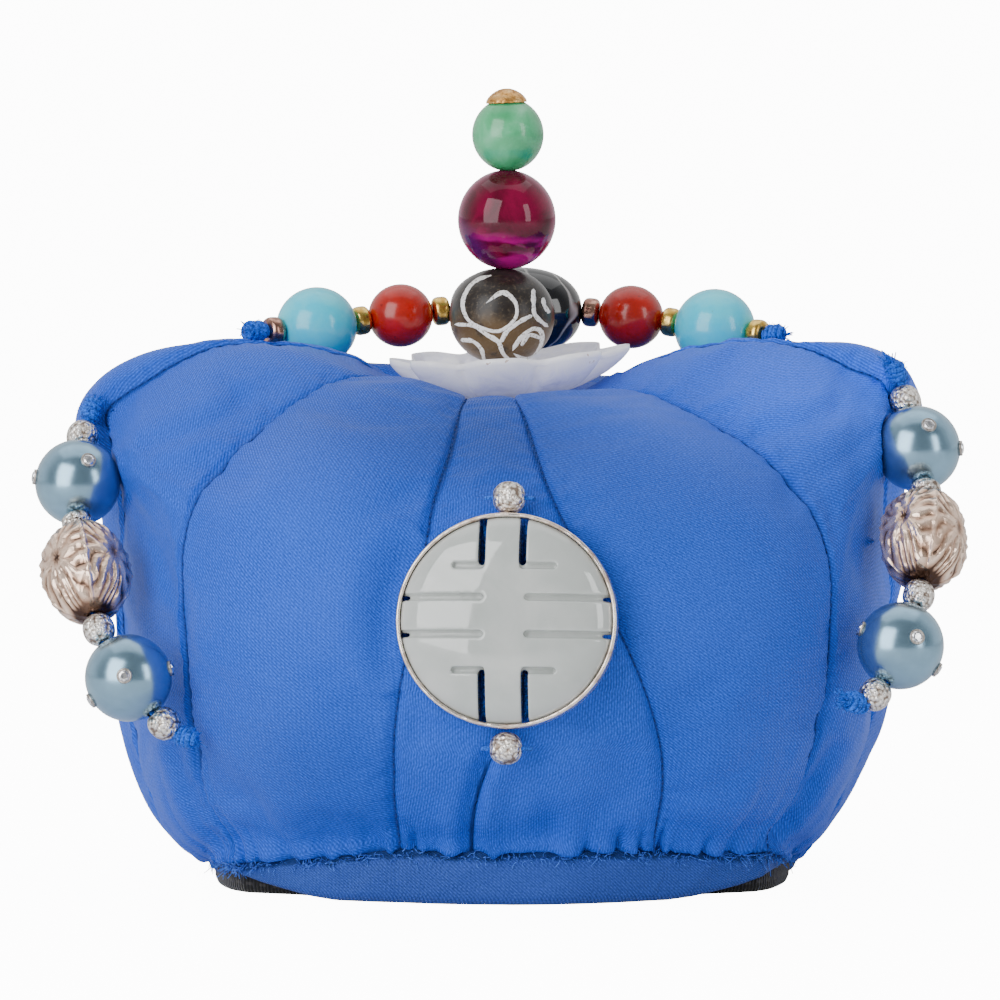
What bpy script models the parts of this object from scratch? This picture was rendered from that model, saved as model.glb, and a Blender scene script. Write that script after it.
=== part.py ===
"""A jokduri, the padded bridal coronet: a stuffed satin crown sewn from ten panels, hollow below,
with a jade medallion, a stack of beads over a carved flower, and three strings of beads."""

import math

import bmesh
import bpy
from mathutils import Matrix, Vector

MM = 0.001

# Shift to the right and to the back that centres the whole object on the frame, mm.
SHIFT_X = 0.7
SHIFT_Y = 3.3

# Gap kept between neighbouring pieces, and between beads on a bent thread, mm.
GAP = 0.35
BEAD_GAP = 0.5

# The crown's sewn seams, each by level from the middle of the top (level 0) to the hem (level 13):
# turn from the front in degrees (right is plus), distance from the axis in mm and height in mm.
# The two side seams carry the corners that the bead strings hang from.
LEFT_SEAM = {
    "turn": (-82, -82, -82, -82, -82, -82, -82, -82, -82, -82, -82, -82, -82, -82),
    "reach": (0, 12, 20, 29, 42, 55, 67, 75, 73, 73, 71, 64.8, 57, 53),
    "height": (87.4, 88.0, 92.2, 97.2, 99.4, 98.8, 92.8, 86, 72, 50, 29, 11.5, 2.2, 5),
}
LEFT_FRONT_SEAM = {
    "turn": (-60, -60, -58, -54, -54, -54, -53.5, -53, -53, -53, -53.5, -54, -53, -52),
    "reach": (0, 12, 22, 31, 40, 51, 62, 71.5, 74.3, 73.5, 71.2, 67.5, 64, 61.5),
    "height": (87.4, 88.5, 91.2, 94.0, 92.9, 87.8, 81, 72, 62, 46, 31, 18.5, 10.5, 6.2),
}
LEFT_MIDDLE_SEAM = {
    "turn": (-25, -22, -17, -13, -11.5, -10.5, -11.5, -12, -13.3, -14.7, -16.5, -17.9, -18.8, -19.4),
    "reach": (0, 12, 22, 30, 40, 51.5, 60.5, 66.5, 69.4, 70.6, 69, 64.5, 59.5, 56.3),
    "height": (87.4, 88, 89.4, 90.4, 88.3, 82.6, 75.2, 66.5, 56, 44.5, 32.3, 20.8, 13.5, 10.3),
}
RIGHT_MIDDLE_SEAM = {
    "turn": (8, 6, 4.5, 4.5, 5.5, 6.5, 8, 11, 15, 19.5, 24, 26.5, 27.7, 28.3),
    "reach": (0, 12, 22, 30, 40, 51.5, 60.5, 66.3, 69.2, 70.6, 69, 65, 60, 57),
    "height": (87.4, 88, 89.2, 90.0, 88.0, 82.4, 75.5, 66.8, 56.5, 45, 31.5, 20.8, 13.5, 10),
}
RIGHT_FRONT_SEAM = {
    "turn": (60, 60, 56, 53, 51.5, 51.5, 52, 52.7, 53, 53.2, 54, 54.3, 53.5, 52.5),
    "reach": (0, 12, 22, 31, 40, 51, 61.5, 71, 75.2, 75, 72, 66.5, 62, 60),
    "height": (87.4, 88.3, 90.2, 91.2, 89.4, 85.2, 79.3, 70.5, 61, 48, 33, 19.5, 12, 8),
}
RIGHT_SEAM = {
    "turn": (82, 82, 82, 82, 82, 82, 82, 82, 82, 82, 82, 82, 82, 82),
    "reach": (0, 12, 20, 29, 42, 55, 65, 72, 71.2, 72.6, 69.4, 61.8, 55.6, 53.2),
    "height": (87.4, 88.8, 93.0, 97, 99.6, 99.1, 95.2, 90.8, 78, 52, 30, 12, 2.2, 5),
}

# How far each kind of panel is stuffed out beyond its two seams, mm at each level.
STUFFING = {
    "side": (0, 0.2, 0.4, 0.6, 0.9, 1.4, 2.2, 1.4, 0.8, 1.2, 1.8, 2.0, 1.0, 0),
    "front": (0, 0.2, 0.5, 0.9, 1.6, 2.5, 3.2, 3.3, 3.0, 2.8, 2.8, 2.6, 1.2, 0),
    "gusset": (0, 0.1, 0.2, 0.3, 0.5, 0.8, 1.0, 1.0, 0.9, 0.8, 0.8, 0.7, 0.3, 0),
    "rear side": (0, 0.1, 0.3, 0.8, 1.5, 3.6, 7.8, 7.4, 3.5, 2.2, 2.2, 2.2, 1.0, 0),
}
FULLNESS = 0.8
LAST_LEVEL = 13

# Room left between the cloth and the middle of a bead pressed into it, beyond the bead's radius, mm.
PRESS_ROOM = 1.8

# Columns across one panel, closer together beside the seams, and rows down the crown.
PANEL_COLUMNS = (0.0, 0.12, 0.32, 0.5, 0.68, 0.88)
UPPER_ROWS = (0.6, 1.2, 2.0, 2.7, 3.4, 4.1, 4.8, 5.4, 6.0, 6.5)
LOWER_ROWS = (7.0, 7.6, 8.4, 9.4, 10.2, 11.0, 11.6, 12.2, 13.0)
CROWN_ROWS = UPPER_ROWS + LOWER_ROWS

# The hollow for the head: share of the mouth's radius and height in mm.
HOLLOW = ((0.985, 24.0), (0.9, 40.0), (0.68, 51.0), (0.35, 57.0))
HOLLOW_TOP = 58.5
PADDING_AT_MOUTH = 7.5

# The hem roll and the black band inside the mouth.
HEM_DEPTH = 4.0
HEM_SWELL = 1.0
FRONT_HEM_BOTTOM = 0.45
CORNER_HEM_BOTTOM = 2.6
BAND_THICK = 2.2
BAND_INNER = 7.2
BAND_WALL = 4.8
BAND_SHOWS_FROM = 32.0
BAND_SHOWS_FULL = 62.0

# The medallion: centre of its back, its facing and its sizes.
MEDALLION_CENTRE = Vector((0.9, -68.2, 51.9))
MEDALLION_TURN = -5.0
MEDALLION_RISE = 8.0
BEZEL_RADIUS = 19.9
BEZEL_WALL = 0.8
BEZEL_DEPTH = 4.2
JADE_EDGE = 3.2
JADE_DOME = 5.6
# Slots sawn in the jade: left, right, bottom and top in mm from its centre, and how far up from its
# back they stop. The long level ones go right through only beside the rim.
THROUGH = -2.0
GROOVE = 3.4
SLOTS = (
    (-4.9, -3.6, 10.3, 16.6, THROUGH),
    (-9.6, -3.5, 9.4, 10.5, THROUGH),
    (2.4, 3.7, 10.3, 16.6, THROUGH),
    (2.3, 9.2, 9.4, 10.5, THROUGH),
    (-17.8, -3.7, 3.5, 4.7, GROOVE),
    (3.4, 17.8, 3.5, 4.7, GROOVE),
    (-17.8, -3.7, -3.3, -2.1, GROOVE),
    (3.4, 17.8, -3.3, -2.1, GROOVE),
    (-17.7, -14.2, 3.6, 4.6, THROUGH),
    (14.2, 17.7, 3.6, 4.6, THROUGH),
    (-17.7, -14.2, -3.2, -2.2, THROUGH),
    (14.2, 17.7, -3.2, -2.2, THROUGH),
    (-9.6, -3.3, -9.9, -8.8, THROUGH),
    (2.9, 9.2, -9.9, -8.8, THROUGH),
    (-4.7, -3.4, -17.0, -9.0, THROUGH),
    (3.0, 4.3, -17.0, -9.0, THROUGH),
)

# The carved jade flower under the stack.
PETALS = 8
FLOWER_REACH = 22.5
FLOWER_LEAN = 2.1
FLOWER_TILT = 3.4
# Its section: share of the reach, height of the upper and of the lower face in mm.
FLOWER_SECTION = (
    (0.3, 94.2, 88.7),
    (0.55, 94.0, 89.7),
    (0.78, 94.9, 91.9),
    (0.93, 96.2, 94.4),
    (1.0, 97.0, 96.2),
)
FLOWER_HOLE = 0.9

THREAD_RADIUS = 0.45
BORE_RADIUS = 0.85

# Bead kinds: radius, half length along the thread, sides, rows and roundness (2 is an ellipse).
BEADS = {
    "pearl": (7.9, 7.8, 12, 6, 2.0),
    "lantern": (8.2, 10.2, 12, 6, 2.3),
    "silver": (2.85, 2.8, 8, 4, 2.2),
    "disc": (2.9, 1.3, 8, 3, 2.6),
    "turquoise": (7.5, 7.5, 12, 6, 2.0),
    "coral": (6.0, 6.0, 12, 6, 2.0),
    "ring": (2.75, 1.5, 8, 3, 3.2),
    "agate": (8.35, 12.4, 12, 6, 2.3),
    "carved": (9.5, 8.7, 14, 7, 2.1),
    "magenta": (9.1, 9.1, 12, 6, 2.0),
    "green": (6.65, 6.6, 12, 6, 2.0),
}

# Each thread runs on a smooth path through its points, mm.
LEFT_PATH = (
    (-75.6, -10.4, 88.8),
    (-78.2, -13.6, 82.0),
    (-78.6, -20.0, 75.4),
    (-78.6, -25.2, 69.8),
    (-76.8, -33.6, 60.0),
    (-74.6, -42.4, 51.4),
    (-70.3, -46.8, 42.8),
    (-64.2, -49.6, 35.0),
    (-58.8, -49.0, 30.0),
)
RIGHT_PATH = (
    (72.2, -8.0, 95.0),
    (74.4, -11.0, 89.4),
    (76.8, -17.4, 81.6),
    (77.8, -22.0, 75.4),
    (77.4, -30.6, 66.2),
    (76.4, -39.6, 57.6),
    (74.0, -45.4, 49.4),
    (70.4, -50.0, 41.4),
    (65.6, -51.8, 36.2),
)
TOP_PATH = (
    (-48.4, 11.0, 100.6),
    (-43.2, 15.2, 100.2),
    (-35.2, 20.5, 100.6),
    (-19.6, 26.4, 102.7),
    (0.9, 29.4, 104.0),
    (23.2, 26.4, 102.6),
    (38.9, 20.5, 100.5),
    (47.4, 15.0, 99.8),
    (52.4, 10.6, 99.8),
)
STACK_PATH = (
    (-0.6, 0.0, 88.2),
    (-0.6, 0.0, 95.0),
    (-0.8, 0.0, 104.4),
    (0.3, 0.0, 113.4),
    (1.6, 0.0, 122.0),
    (0.8, 0.0, 137.5),
    (0.5, 0.0, 144.0),
)

# The beads in the order they are threaded: name and kind.
SIDE_STRING = (
    ("silver_bead_1", "silver"),
    ("pearl_1", "pearl"),
    ("disc", "disc"),
    ("lantern_bead", "lantern"),
    ("silver_bead_2", "silver"),
    ("pearl_2", "pearl"),
    ("silver_bead_3", "silver"),
)
TOP_STRING = (
    ("ring_1", "ring"),
    ("turquoise_1", "turquoise"),
    ("ring_2", "ring"),
    ("coral_1", "coral"),
    ("ring_3", "ring"),
    ("agate", "agate"),
    ("ring_4", "ring"),
    ("coral_2", "coral"),
    ("ring_5", "ring"),
    ("turquoise_2", "turquoise"),
    ("ring_6", "ring"),
)
STACK = (
    ("stack_carved_bead", "carved"),
    ("stack_magenta_bead", "magenta"),
    ("stack_green_bead", "green"),
)

# The knots at both ends of a string, and the cap on the stack, mm.
KNOT_LENGTH = 4.6
KNOT_RADIUS = 2.0
CAP_RADIUS = 3.8
CAP_HEIGHT = 2.0

# Colour, metal and roughness of each kind of piece.
COLOURS = {
    "satin": ((0.05, 0.16, 0.62, 1), 0.0, 0.45),
    "band": ((0.012, 0.012, 0.013, 1), 0.0, 0.8),
    "thread": ((0.02, 0.17, 0.6, 1), 0.0, 0.7),
    "bezel": ((0.75, 0.72, 0.68, 1), 1.0, 0.3),
    "jade": ((0.5, 0.58, 0.54, 1), 0.0, 0.25),
    "flower": ((0.72, 0.71, 0.76, 1), 0.0, 0.35),
    "pearl": ((0.25, 0.4, 0.5, 1), 0.3, 0.2),
    "lantern": ((0.5, 0.42, 0.36, 1), 1.0, 0.35),
    "silver": ((0.7, 0.68, 0.64, 1), 1.0, 0.35),
    "disc": ((0.7, 0.68, 0.64, 1), 1.0, 0.35),
    "turquoise": ((0.13, 0.6, 0.65, 1), 0.0, 0.2),
    "coral": ((0.6, 0.06, 0.03, 1), 0.0, 0.2),
    "ring": ((0.7, 0.5, 0.2, 1), 1.0, 0.25),
    "agate": ((0.05, 0.055, 0.06, 1), 0.0, 0.15),
    "carved": ((0.25, 0.2, 0.15, 1), 0.0, 0.5),
    "magenta": ((0.25, 0.01, 0.08, 1), 0.0, 0.1),
    "green": ((0.15, 0.55, 0.3, 1), 0.0, 0.25),
    "cap": ((0.8, 0.5, 0.25, 1), 1.0, 0.3),
}


def material(kind):
    if kind in bpy.data.materials:
        return bpy.data.materials[kind]
    made = bpy.data.materials.new(kind)
    made.use_nodes = True
    colour, metal, rough = COLOURS[kind]
    shader = made.node_tree.nodes["Principled BSDF"]
    shader.inputs["Base Color"].default_value = colour
    shader.inputs["Metallic"].default_value = metal
    shader.inputs["Roughness"].default_value = rough
    made.diffuse_color = colour
    return made


def add_piece(name, points, faces, kind, smooth=True):
    """One named piece from points in mm and faces that may hold any number of corners."""
    shift = Vector((SHIFT_X, SHIFT_Y, 0))
    mesh = bpy.data.meshes.new(name)
    mesh.from_pydata([(Vector(p) + shift) * MM for p in points], [], faces)
    piece = bpy.data.objects.new(name, mesh)
    bpy.context.scene.collection.objects.link(piece)
    mesh.materials.append(material(kind))
    shape = bmesh.new()
    shape.from_mesh(mesh)
    bmesh.ops.recalc_face_normals(shape, faces=shape.faces)
    shape.to_mesh(mesh)
    shape.free()
    for face in mesh.polygons:
        face.use_smooth = smooth
    return piece


def round_ring(radius, height, sides):
    """Points of a circle round the z axis."""
    turns = [2 * math.pi * i / sides for i in range(sides)]
    return [Vector((radius * math.cos(turn), radius * math.sin(turn), height)) for turn in turns]


def loft(rings, closed_ends=(None, None), loop=False):
    """Points and faces of a skin over equal rings of points; each end may be closed by one point."""
    count = len(rings[0])
    points = [p for ring in rings for p in ring]
    faces = []
    last = len(rings) if loop else len(rings) - 1
    for row in range(last):
        low = row * count
        high = (row + 1) % len(rings) * count
        for i in range(count):
            j = (i + 1) % count
            faces.append((low + i, low + j, high + j, high + i))
    for end, row in ((0, 0), (1, len(rings) - 1)):
        if closed_ends[end] is None:
            continue
        points.append(closed_ends[end])
        tip = len(points) - 1
        for i in range(count):
            faces.append((row * count + i, row * count + (i + 1) % count, tip))
    return points, faces


def blend(values, place):
    """A value between table entries, on a smooth curve through them."""
    last = len(values) - 1
    low = min(int(place), last - 1)
    t = place - low
    a, b, c, d = (values[min(max(k, 0), last)] for k in (low - 1, low, low + 1, low + 2))
    slope_in = (c - a) / 2
    slope_out = (d - b) / 2
    return (
        b * (2 * t**3 - 3 * t**2 + 1)
        + slope_in * (t**3 - 2 * t**2 + t)
        + c * (3 * t**2 - 2 * t**3)
        + slope_out * (t**3 - t**2)
    )


def ease(low, high, value):
    share = min(max((value - low) / (high - low), 0.0), 1.0)
    return share * share * (3 - 2 * share)


def rear(seam):
    """The seam behind a front one, its mirror image front to back."""
    return {**seam, "turn": tuple(180 - turn for turn in seam["turn"])}


def panels():
    """The ten panels round the crown, from the left side seam to the right: two seams and a kind each."""
    around = (
        LEFT_SEAM,
        LEFT_FRONT_SEAM,
        LEFT_MIDDLE_SEAM,
        RIGHT_MIDDLE_SEAM,
        RIGHT_FRONT_SEAM,
        RIGHT_SEAM,
        rear(RIGHT_FRONT_SEAM),
        rear(RIGHT_MIDDLE_SEAM),
        rear(LEFT_MIDDLE_SEAM),
        rear(LEFT_FRONT_SEAM),
        {**LEFT_SEAM, "turn": tuple(turn + 360 for turn in LEFT_SEAM["turn"])},
    )
    kinds = (
        "side",
        "front",
        "gusset",
        "front",
        "side",
        "rear side",
        "front",
        "gusset",
        "front",
        "rear side",
    )
    return [(around[i], around[i + 1], kind) for i, kind in enumerate(kinds)]


def medallion_frame():
    """Rotation that takes x right, y up and z outward on the medallion to the frame."""
    turn = math.radians(MEDALLION_TURN)
    rise = math.radians(MEDALLION_RISE)
    outward = Vector((math.sin(turn) * math.cos(rise), -math.cos(turn) * math.cos(rise), math.sin(rise)))
    across = Vector((math.cos(turn), math.sin(turn), 0))
    return Matrix((across, outward.cross(across), outward)).transposed()


def pressed_by_medallion(point):
    """The cloth lies flat behind the medallion and swells again round it."""
    outward = medallion_frame().col[2]
    away = point - MEDALLION_CENTRE
    out = away.dot(outward)
    sideways = (away - outward * out).length
    press = (1 - ease(BEZEL_RADIUS + 2.5, BEZEL_RADIUS + 11.0, sideways)) * max(out + GAP, 0.0)
    return point - outward * press


def pressed_by_beads(point, seats):
    """The cloth gives way where a bead or a knot lies on it."""
    for centre, radius in seats:
        away = point - centre
        if away.length < radius + PRESS_ROOM:
            point = centre + away * ((radius + PRESS_ROOM) / away.length)
    return point


def between(panel, share, key, level):
    """A value of the seam tables part of the way from the panel's first seam to its second."""
    first, second, _ = panel
    return blend(first[key], level) * (1 - share) + blend(second[key], level) * share


def crown_point(panel, share, level, seats=()):
    """A point of the satin: share is the way across the panel, level the way down it."""
    first, _, kind = panel
    turn = between(panel, share, "turn", level)
    reach = between(panel, share, "reach", level)
    height = between(panel, share, "height", level)
    up = max(level - 0.05, 0)
    down = min(level + 0.05, LAST_LEVEL)
    out_run = between(panel, share, "reach", down) - between(panel, share, "reach", up)
    drop = between(panel, share, "height", down) - between(panel, share, "height", up)
    size = math.hypot(out_run, drop) or 1.0
    skew = share
    if kind == "rear side":
        # The rear side panels are fullest close to the side seams.
        skew = share**0.6 if first["turn"][5] < 100 else 1 - (1 - share) ** 0.6
    swell = max(math.sin(math.pi * skew), 0.0) ** FULLNESS * blend(STUFFING[kind], level)
    reach += swell * -drop / size
    height += swell * out_run / size
    angle = math.radians(turn)
    point = Vector((reach * math.sin(angle), -reach * math.cos(angle), height))
    return pressed_by_beads(pressed_by_medallion(point), seats)


def crown_ring(level, seats=()):
    return [crown_point(panel, share, level, seats) for panel in panels() for share in PANEL_COLUMNS]


def inward(point, depth, height):
    """The point moved towards the axis and set at a height."""
    reach = math.hypot(point.x, point.y)
    scale = (reach - depth) / reach
    return Vector((point.x * scale, point.y * scale, height))


def add_crown(seats):
    rings = [crown_ring(level, seats) for level in CROWN_ROWS]
    hem = rings[-1]
    mouth = [inward(p, PADDING_AT_MOUTH, p.z + 1.0) for p in hem]
    rings.append(mouth)
    for share, height in HOLLOW:
        rings.append([Vector((p.x * share, p.y * share, height)) for p in mouth])
    top = Vector((0, 0, blend(LEFT_SEAM["height"], 0)))
    points, faces = loft(rings, (top, Vector((0, 0, HOLLOW_TOP))))
    add_piece("crown", points, faces, "satin")


def side_share(point):
    """0 at the front and back, 1 at the corners and sides, where the black band shows."""
    turn = abs(math.degrees(math.atan2(point.x, -point.y)))
    turn = min(turn, 180 - turn)
    return min(max((turn - BAND_SHOWS_FROM) / (BAND_SHOWS_FULL - BAND_SHOWS_FROM), 0.0), 1.0)


def add_hem_and_band():
    hem = crown_ring(LAST_LEVEL)
    roll = []
    band = []
    for point in hem:
        share = side_share(point)
        swell = HEM_SWELL * (1 - 0.7 * share)
        top = point.z - GAP
        bottom = FRONT_HEM_BOTTOM + (CORNER_HEM_BOTTOM - FRONT_HEM_BOTTOM) * ease(0.0, 0.5, share)
        tall = top - bottom
        roll.append(
            (
                inward(point, 0.5, top),
                inward(point, -0.6 * swell, bottom + 0.74 * tall),
                inward(point, -swell, bottom + 0.45 * tall),
                inward(point, -0.5 * swell, bottom + 0.18 * tall),
                inward(point, 0.7, bottom),
                inward(point, HEM_DEPTH, bottom),
                inward(point, HEM_DEPTH, top),
            )
        )
        edge = BAND_WALL - 0.2 - (BAND_WALL - 1.1) * ease(0.5, 1.0, share)
        band.append(
            (
                inward(point, BAND_INNER, 0.0),
                inward(point, edge, 0.0),
                inward(point, edge, BAND_THICK - 0.05),
                inward(point, BAND_WALL, BAND_THICK),
                inward(point, BAND_WALL, top),
                inward(point, BAND_INNER, top),
            )
        )
    points, faces = loft(roll, loop=True)
    add_piece("hem_band", points, faces, "satin")
    points, faces = loft(band, loop=True)
    add_piece("mouth_band", points, faces, "band", smooth=False)


def add_medallion():
    turned = medallion_frame()
    sides = 32
    rim = (
        (BEZEL_RADIUS - BEZEL_WALL, 0.0),
        (BEZEL_RADIUS, 0.0),
        (BEZEL_RADIUS, BEZEL_DEPTH),
        (BEZEL_RADIUS - 0.5 * BEZEL_WALL, BEZEL_DEPTH + 0.35),
        (BEZEL_RADIUS - BEZEL_WALL, BEZEL_DEPTH),
    )
    points, faces = loft([round_ring(r, z, sides) for r, z in rim], loop=True)
    points = [MEDALLION_CENTRE + turned @ p for p in points]
    add_piece("medallion_bezel", points, faces, "bezel")

    edge = BEZEL_RADIUS - BEZEL_WALL - GAP
    rings = [round_ring(edge, 0.3, sides), round_ring(edge, JADE_EDGE, sides)]
    for share, rise in ((0.86, 0.42), (0.66, 0.72), (0.36, 0.93)):
        rings.append(round_ring(edge * share, JADE_EDGE + JADE_DOME * rise, sides))
    points, faces = loft(rings, (Vector((0, 0, 0.3)), Vector((0, 0, JADE_EDGE + JADE_DOME))))
    points = [MEDALLION_CENTRE + turned @ p for p in points]
    disc = add_piece("medallion_jade", points, faces, "jade")
    for number, (left, right, low, high, floor) in enumerate(SLOTS):
        corners = [
            MEDALLION_CENTRE + turned @ Vector((x, y, z))
            for z in (floor, 12.0)
            for x, y in ((left, low), (right, low), (right, high), (left, high))
        ]
        faces = [(3, 2, 1, 0), (4, 5, 6, 7), (0, 1, 5, 4), (1, 2, 6, 5), (2, 3, 7, 6), (3, 0, 4, 7)]
        cutter = add_piece(f"slot_{number}", corners, faces, "jade", smooth=False)
        cutter.hide_render = True
        cutter.display_type = "WIRE"
        cut = disc.modifiers.new(cutter.name, "BOOLEAN")
        cut.operation = "DIFFERENCE"
        cut.solver = "EXACT"
        cut.object = cutter


def frame_along(direction):
    """Rotation whose z runs along the direction."""
    return Vector(direction).normalized().to_track_quat("Z", "Y").to_matrix()


def bead_ends(kind):
    """Half length of the drilled bead, where its end meets the bore's rim."""
    radius, half, sides, rows, power = BEADS[kind]
    rim = BORE_RADIUS + 0.3
    return half * (1 - (rim / radius) ** power) ** (1 / power)


def add_bead(name, kind, centre, direction):
    """A bead drilled along the thread."""
    radius, half, sides, rows, power = BEADS[kind]
    end = bead_ends(kind)
    lean = math.acos(max(min(end / half, 1.0), 0.0))
    outline = []
    for row in range(rows + 1):
        angle = lean + (math.pi - 2 * lean) * row / rows
        along = half * math.copysign(abs(math.cos(angle)) ** (2 / power), math.cos(angle))
        along = max(min(along, end), -end)
        out = radius * (1 - (abs(along) / half) ** power) ** (1 / power)
        outline.append((out, along))
    outline.append((BORE_RADIUS, -end))
    outline.append((BORE_RADIUS, end))
    turned = frame_along(direction)
    points, faces = loft([round_ring(out, along, sides) for out, along in outline], loop=True)
    add_piece(name, [centre + turned @ p for p in points], faces, kind)


def dense_path(points, steps=40):
    """The smooth curve through the points, as a fine row of points."""
    columns = list(zip(*points))
    places = [i / steps for i in range((len(points) - 1) * steps + 1)]
    return [Vector([blend(column, place) for column in columns]) for place in places]


def next_joint(curve, start, length):
    """The first place after start on the curve that is this far from it in a straight line."""
    index, origin = start
    for i in range(index + 1, len(curve)):
        if (curve[i] - origin).length >= length:
            back = curve[i - 1]
            ahead = curve[i]
            low = 0.0
            high = 1.0
            for _ in range(30):
                middle = (low + high) / 2
                if (back.lerp(ahead, middle) - origin).length < length:
                    low = middle
                else:
                    high = middle
            return i - 1, back.lerp(ahead, high)
    run = (curve[-1] - curve[-2]).normalized()
    return len(curve) - 1, origin + run * length


def add_thread(name, joints, radii, sides=6):
    """A thread through the joints, thicker where it is knotted."""
    rings = []
    turned = frame_along(joints[1] - joints[0])
    for i, joint in enumerate(joints):
        before = (joint - joints[i - 1]).normalized() if i else (joints[1] - joint).normalized()
        after = (joints[i + 1] - joint).normalized() if i + 1 < len(joints) else before
        run = (before + after).normalized()
        turned = turned.col[2].rotation_difference(run).to_matrix() @ turned
        rings.append([joint + turned @ p for p in round_ring(radii[i], 0.0, sides)])
    points, faces = loft(rings)
    count = len(rings)
    faces.append(tuple(reversed(range(sides))))
    faces.append(tuple(range((count - 1) * sides, count * sides)))
    add_piece(name, points, faces, "thread")


def knot(joints, radii, place, direction):
    """Adds a knot that starts at a place and runs in a direction: share of its length and radius."""
    for along, share in ((0.0, 0.5), (0.16, 0.9), (0.5, 1.0), (0.84, 0.9), (1.0, 0.5)):
        joints.append(place + direction * (KNOT_LENGTH * along))
        radii.append(KNOT_RADIUS * share)


def lay_string(beads, path):
    """Where each bead of a knotted string sits, and the joints and radii of its thread."""
    curve = dense_path(path)
    run = (next_joint(curve, (0, curve[0]), KNOT_LENGTH)[1] - curve[0]).normalized()
    joints = []
    radii = []
    knot(joints, radii, curve[0], run)
    seats = [
        (curve[0] + run * (KNOT_LENGTH * part), KNOT_RADIUS + 0.3) for part in (0.1, 0.5, 0.9)
    ]
    here = next_joint(curve, (0, curve[0]), KNOT_LENGTH + 0.25)
    joints.append(here[1])
    radii.append(THREAD_RADIUS)
    places = []
    for name, kind in beads:
        start = here[1]
        here = next_joint(curve, here, 2 * bead_ends(kind) + BEAD_GAP)
        places.append((name, kind, start.lerp(here[1], 0.5), here[1] - start))
        seats.append((places[-1][2], BEADS[kind][0]))
        joints.append(here[1])
        radii.append(THREAD_RADIUS)
    run = (next_joint(curve, here, KNOT_LENGTH)[1] - here[1]).normalized()
    knot(joints, radii, here[1] + run * 0.25, run)
    for part in (0.15, 0.6, 1.0):
        seats.append((here[1] + run * (KNOT_LENGTH * part), KNOT_RADIUS))
    return places, joints, radii, seats


def add_string(prefix, laid):
    places, joints, radii, _ = laid
    for name, kind, centre, run in places:
        add_bead(f"{prefix}_{name}", kind, centre, run)
    add_thread(f"{prefix}_thread", joints, radii)


def flower_point(turn, share, height):
    """A point of the flower: petals meet in valleys and end in blunt tips."""
    swing = math.cos(PETALS * turn)
    petal = 1 - 0.15 * ((1 - swing) / 2) ** 1.6 * ease(0.45, 1.0, share)
    reach = share * petal * (FLOWER_REACH + FLOWER_LEAN * math.cos(turn))
    dip = 0.9 * ease(0.4, 0.9, share) * ((1 - swing) / 2) ** 2
    point = Vector((reach * math.cos(turn), reach * math.sin(turn), height - dip - 92.0))
    tilt = Matrix.Rotation(-math.radians(FLOWER_TILT), 3, "Y")
    return tilt @ point + Vector((STACK_PATH[0][0], 0, 92.0))


def add_flower():
    columns = 40
    rings = []
    for i in range(columns):
        turn = 2 * math.pi * i / columns
        upper = [flower_point(turn, share, high) for share, high, low in FLOWER_SECTION]
        lower = [flower_point(turn, share, low) for share, high, low in FLOWER_SECTION]
        hole = []
        for height in (FLOWER_SECTION[0][2], FLOWER_SECTION[0][1]):
            edge = flower_point(turn, 0.3, height)
            middle = flower_point(turn, 0.0, height)
            hole.append(middle + (edge - middle).normalized() * FLOWER_HOLE)
        rings.append([*hole, *upper, *reversed(lower)])
    points, faces = loft(rings, loop=True)
    add_piece("stack_flower", points, faces, "flower")


def add_stack():
    """The flower, three beads and a cap on an upright thread sewn to the middle of the top."""
    curve = dense_path(STACK_PATH)
    joints = [curve[0]]
    radii = [THREAD_RADIUS]
    here = next_joint(curve, (0, curve[0]), 6.9)
    joints.append(here[1])
    radii.append(THREAD_RADIUS)
    for name, kind in STACK:
        start = here[1]
        here = next_joint(curve, here, 2 * bead_ends(kind) + GAP)
        add_bead(name, kind, start.lerp(here[1], 0.5), here[1] - start)
        joints.append(here[1])
        radii.append(THREAD_RADIUS)
    run = (joints[-1] - joints[-2]).normalized()
    turned = frame_along(run)
    outline = (
        (BORE_RADIUS, 0.9),
        (BORE_RADIUS, 0.0),
        (0.62 * CAP_RADIUS, 0.0),
        (CAP_RADIUS, -0.75),
        (0.98 * CAP_RADIUS, -0.2),
        (0.72 * CAP_RADIUS, 0.62 * CAP_HEIGHT),
        (0.35 * CAP_RADIUS, 0.9 * CAP_HEIGHT),
    )
    rings = [round_ring(out, along, 16) for out, along in outline]
    points, faces = loft(rings, (Vector((0, 0, 0.9)), Vector((0, 0, CAP_HEIGHT))))
    add_piece("stack_cap", [joints[-1] + turned @ p for p in points], faces, "cap")
    joints[-1] = joints[-1] + run * 0.45
    add_thread("stack_thread", joints, radii)


def medallion_beads():
    """Names and centres of the silver beads above and below the medallion."""
    turned = medallion_frame()
    reach = BEZEL_RADIUS + 3.2
    return [
        (name, MEDALLION_CENTRE + turned @ Vector((0, side * reach, lift)))
        for name, side, lift in (("upper", 1, 0.9), ("lower", -1, 1.4))
    ]


def add_medallion_beads():
    """Each bead is held by a stitch through it into the cloth."""
    turned = medallion_frame()
    outward = turned.col[2]
    across = turned.col[0]
    for name, centre in medallion_beads():
        add_bead(f"medallion_bead_{name}", "silver", centre, across)
        end = bead_ends("silver") + 0.3
        joints = [
            centre - across * (end + 1.3) - outward * 1.0,
            centre - across * end,
            centre + across * end,
            centre + across * (end + 1.3) - outward * 1.0,
        ]
        add_thread(f"medallion_stitch_{name}", joints, [THREAD_RADIUS] * 4)


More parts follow.
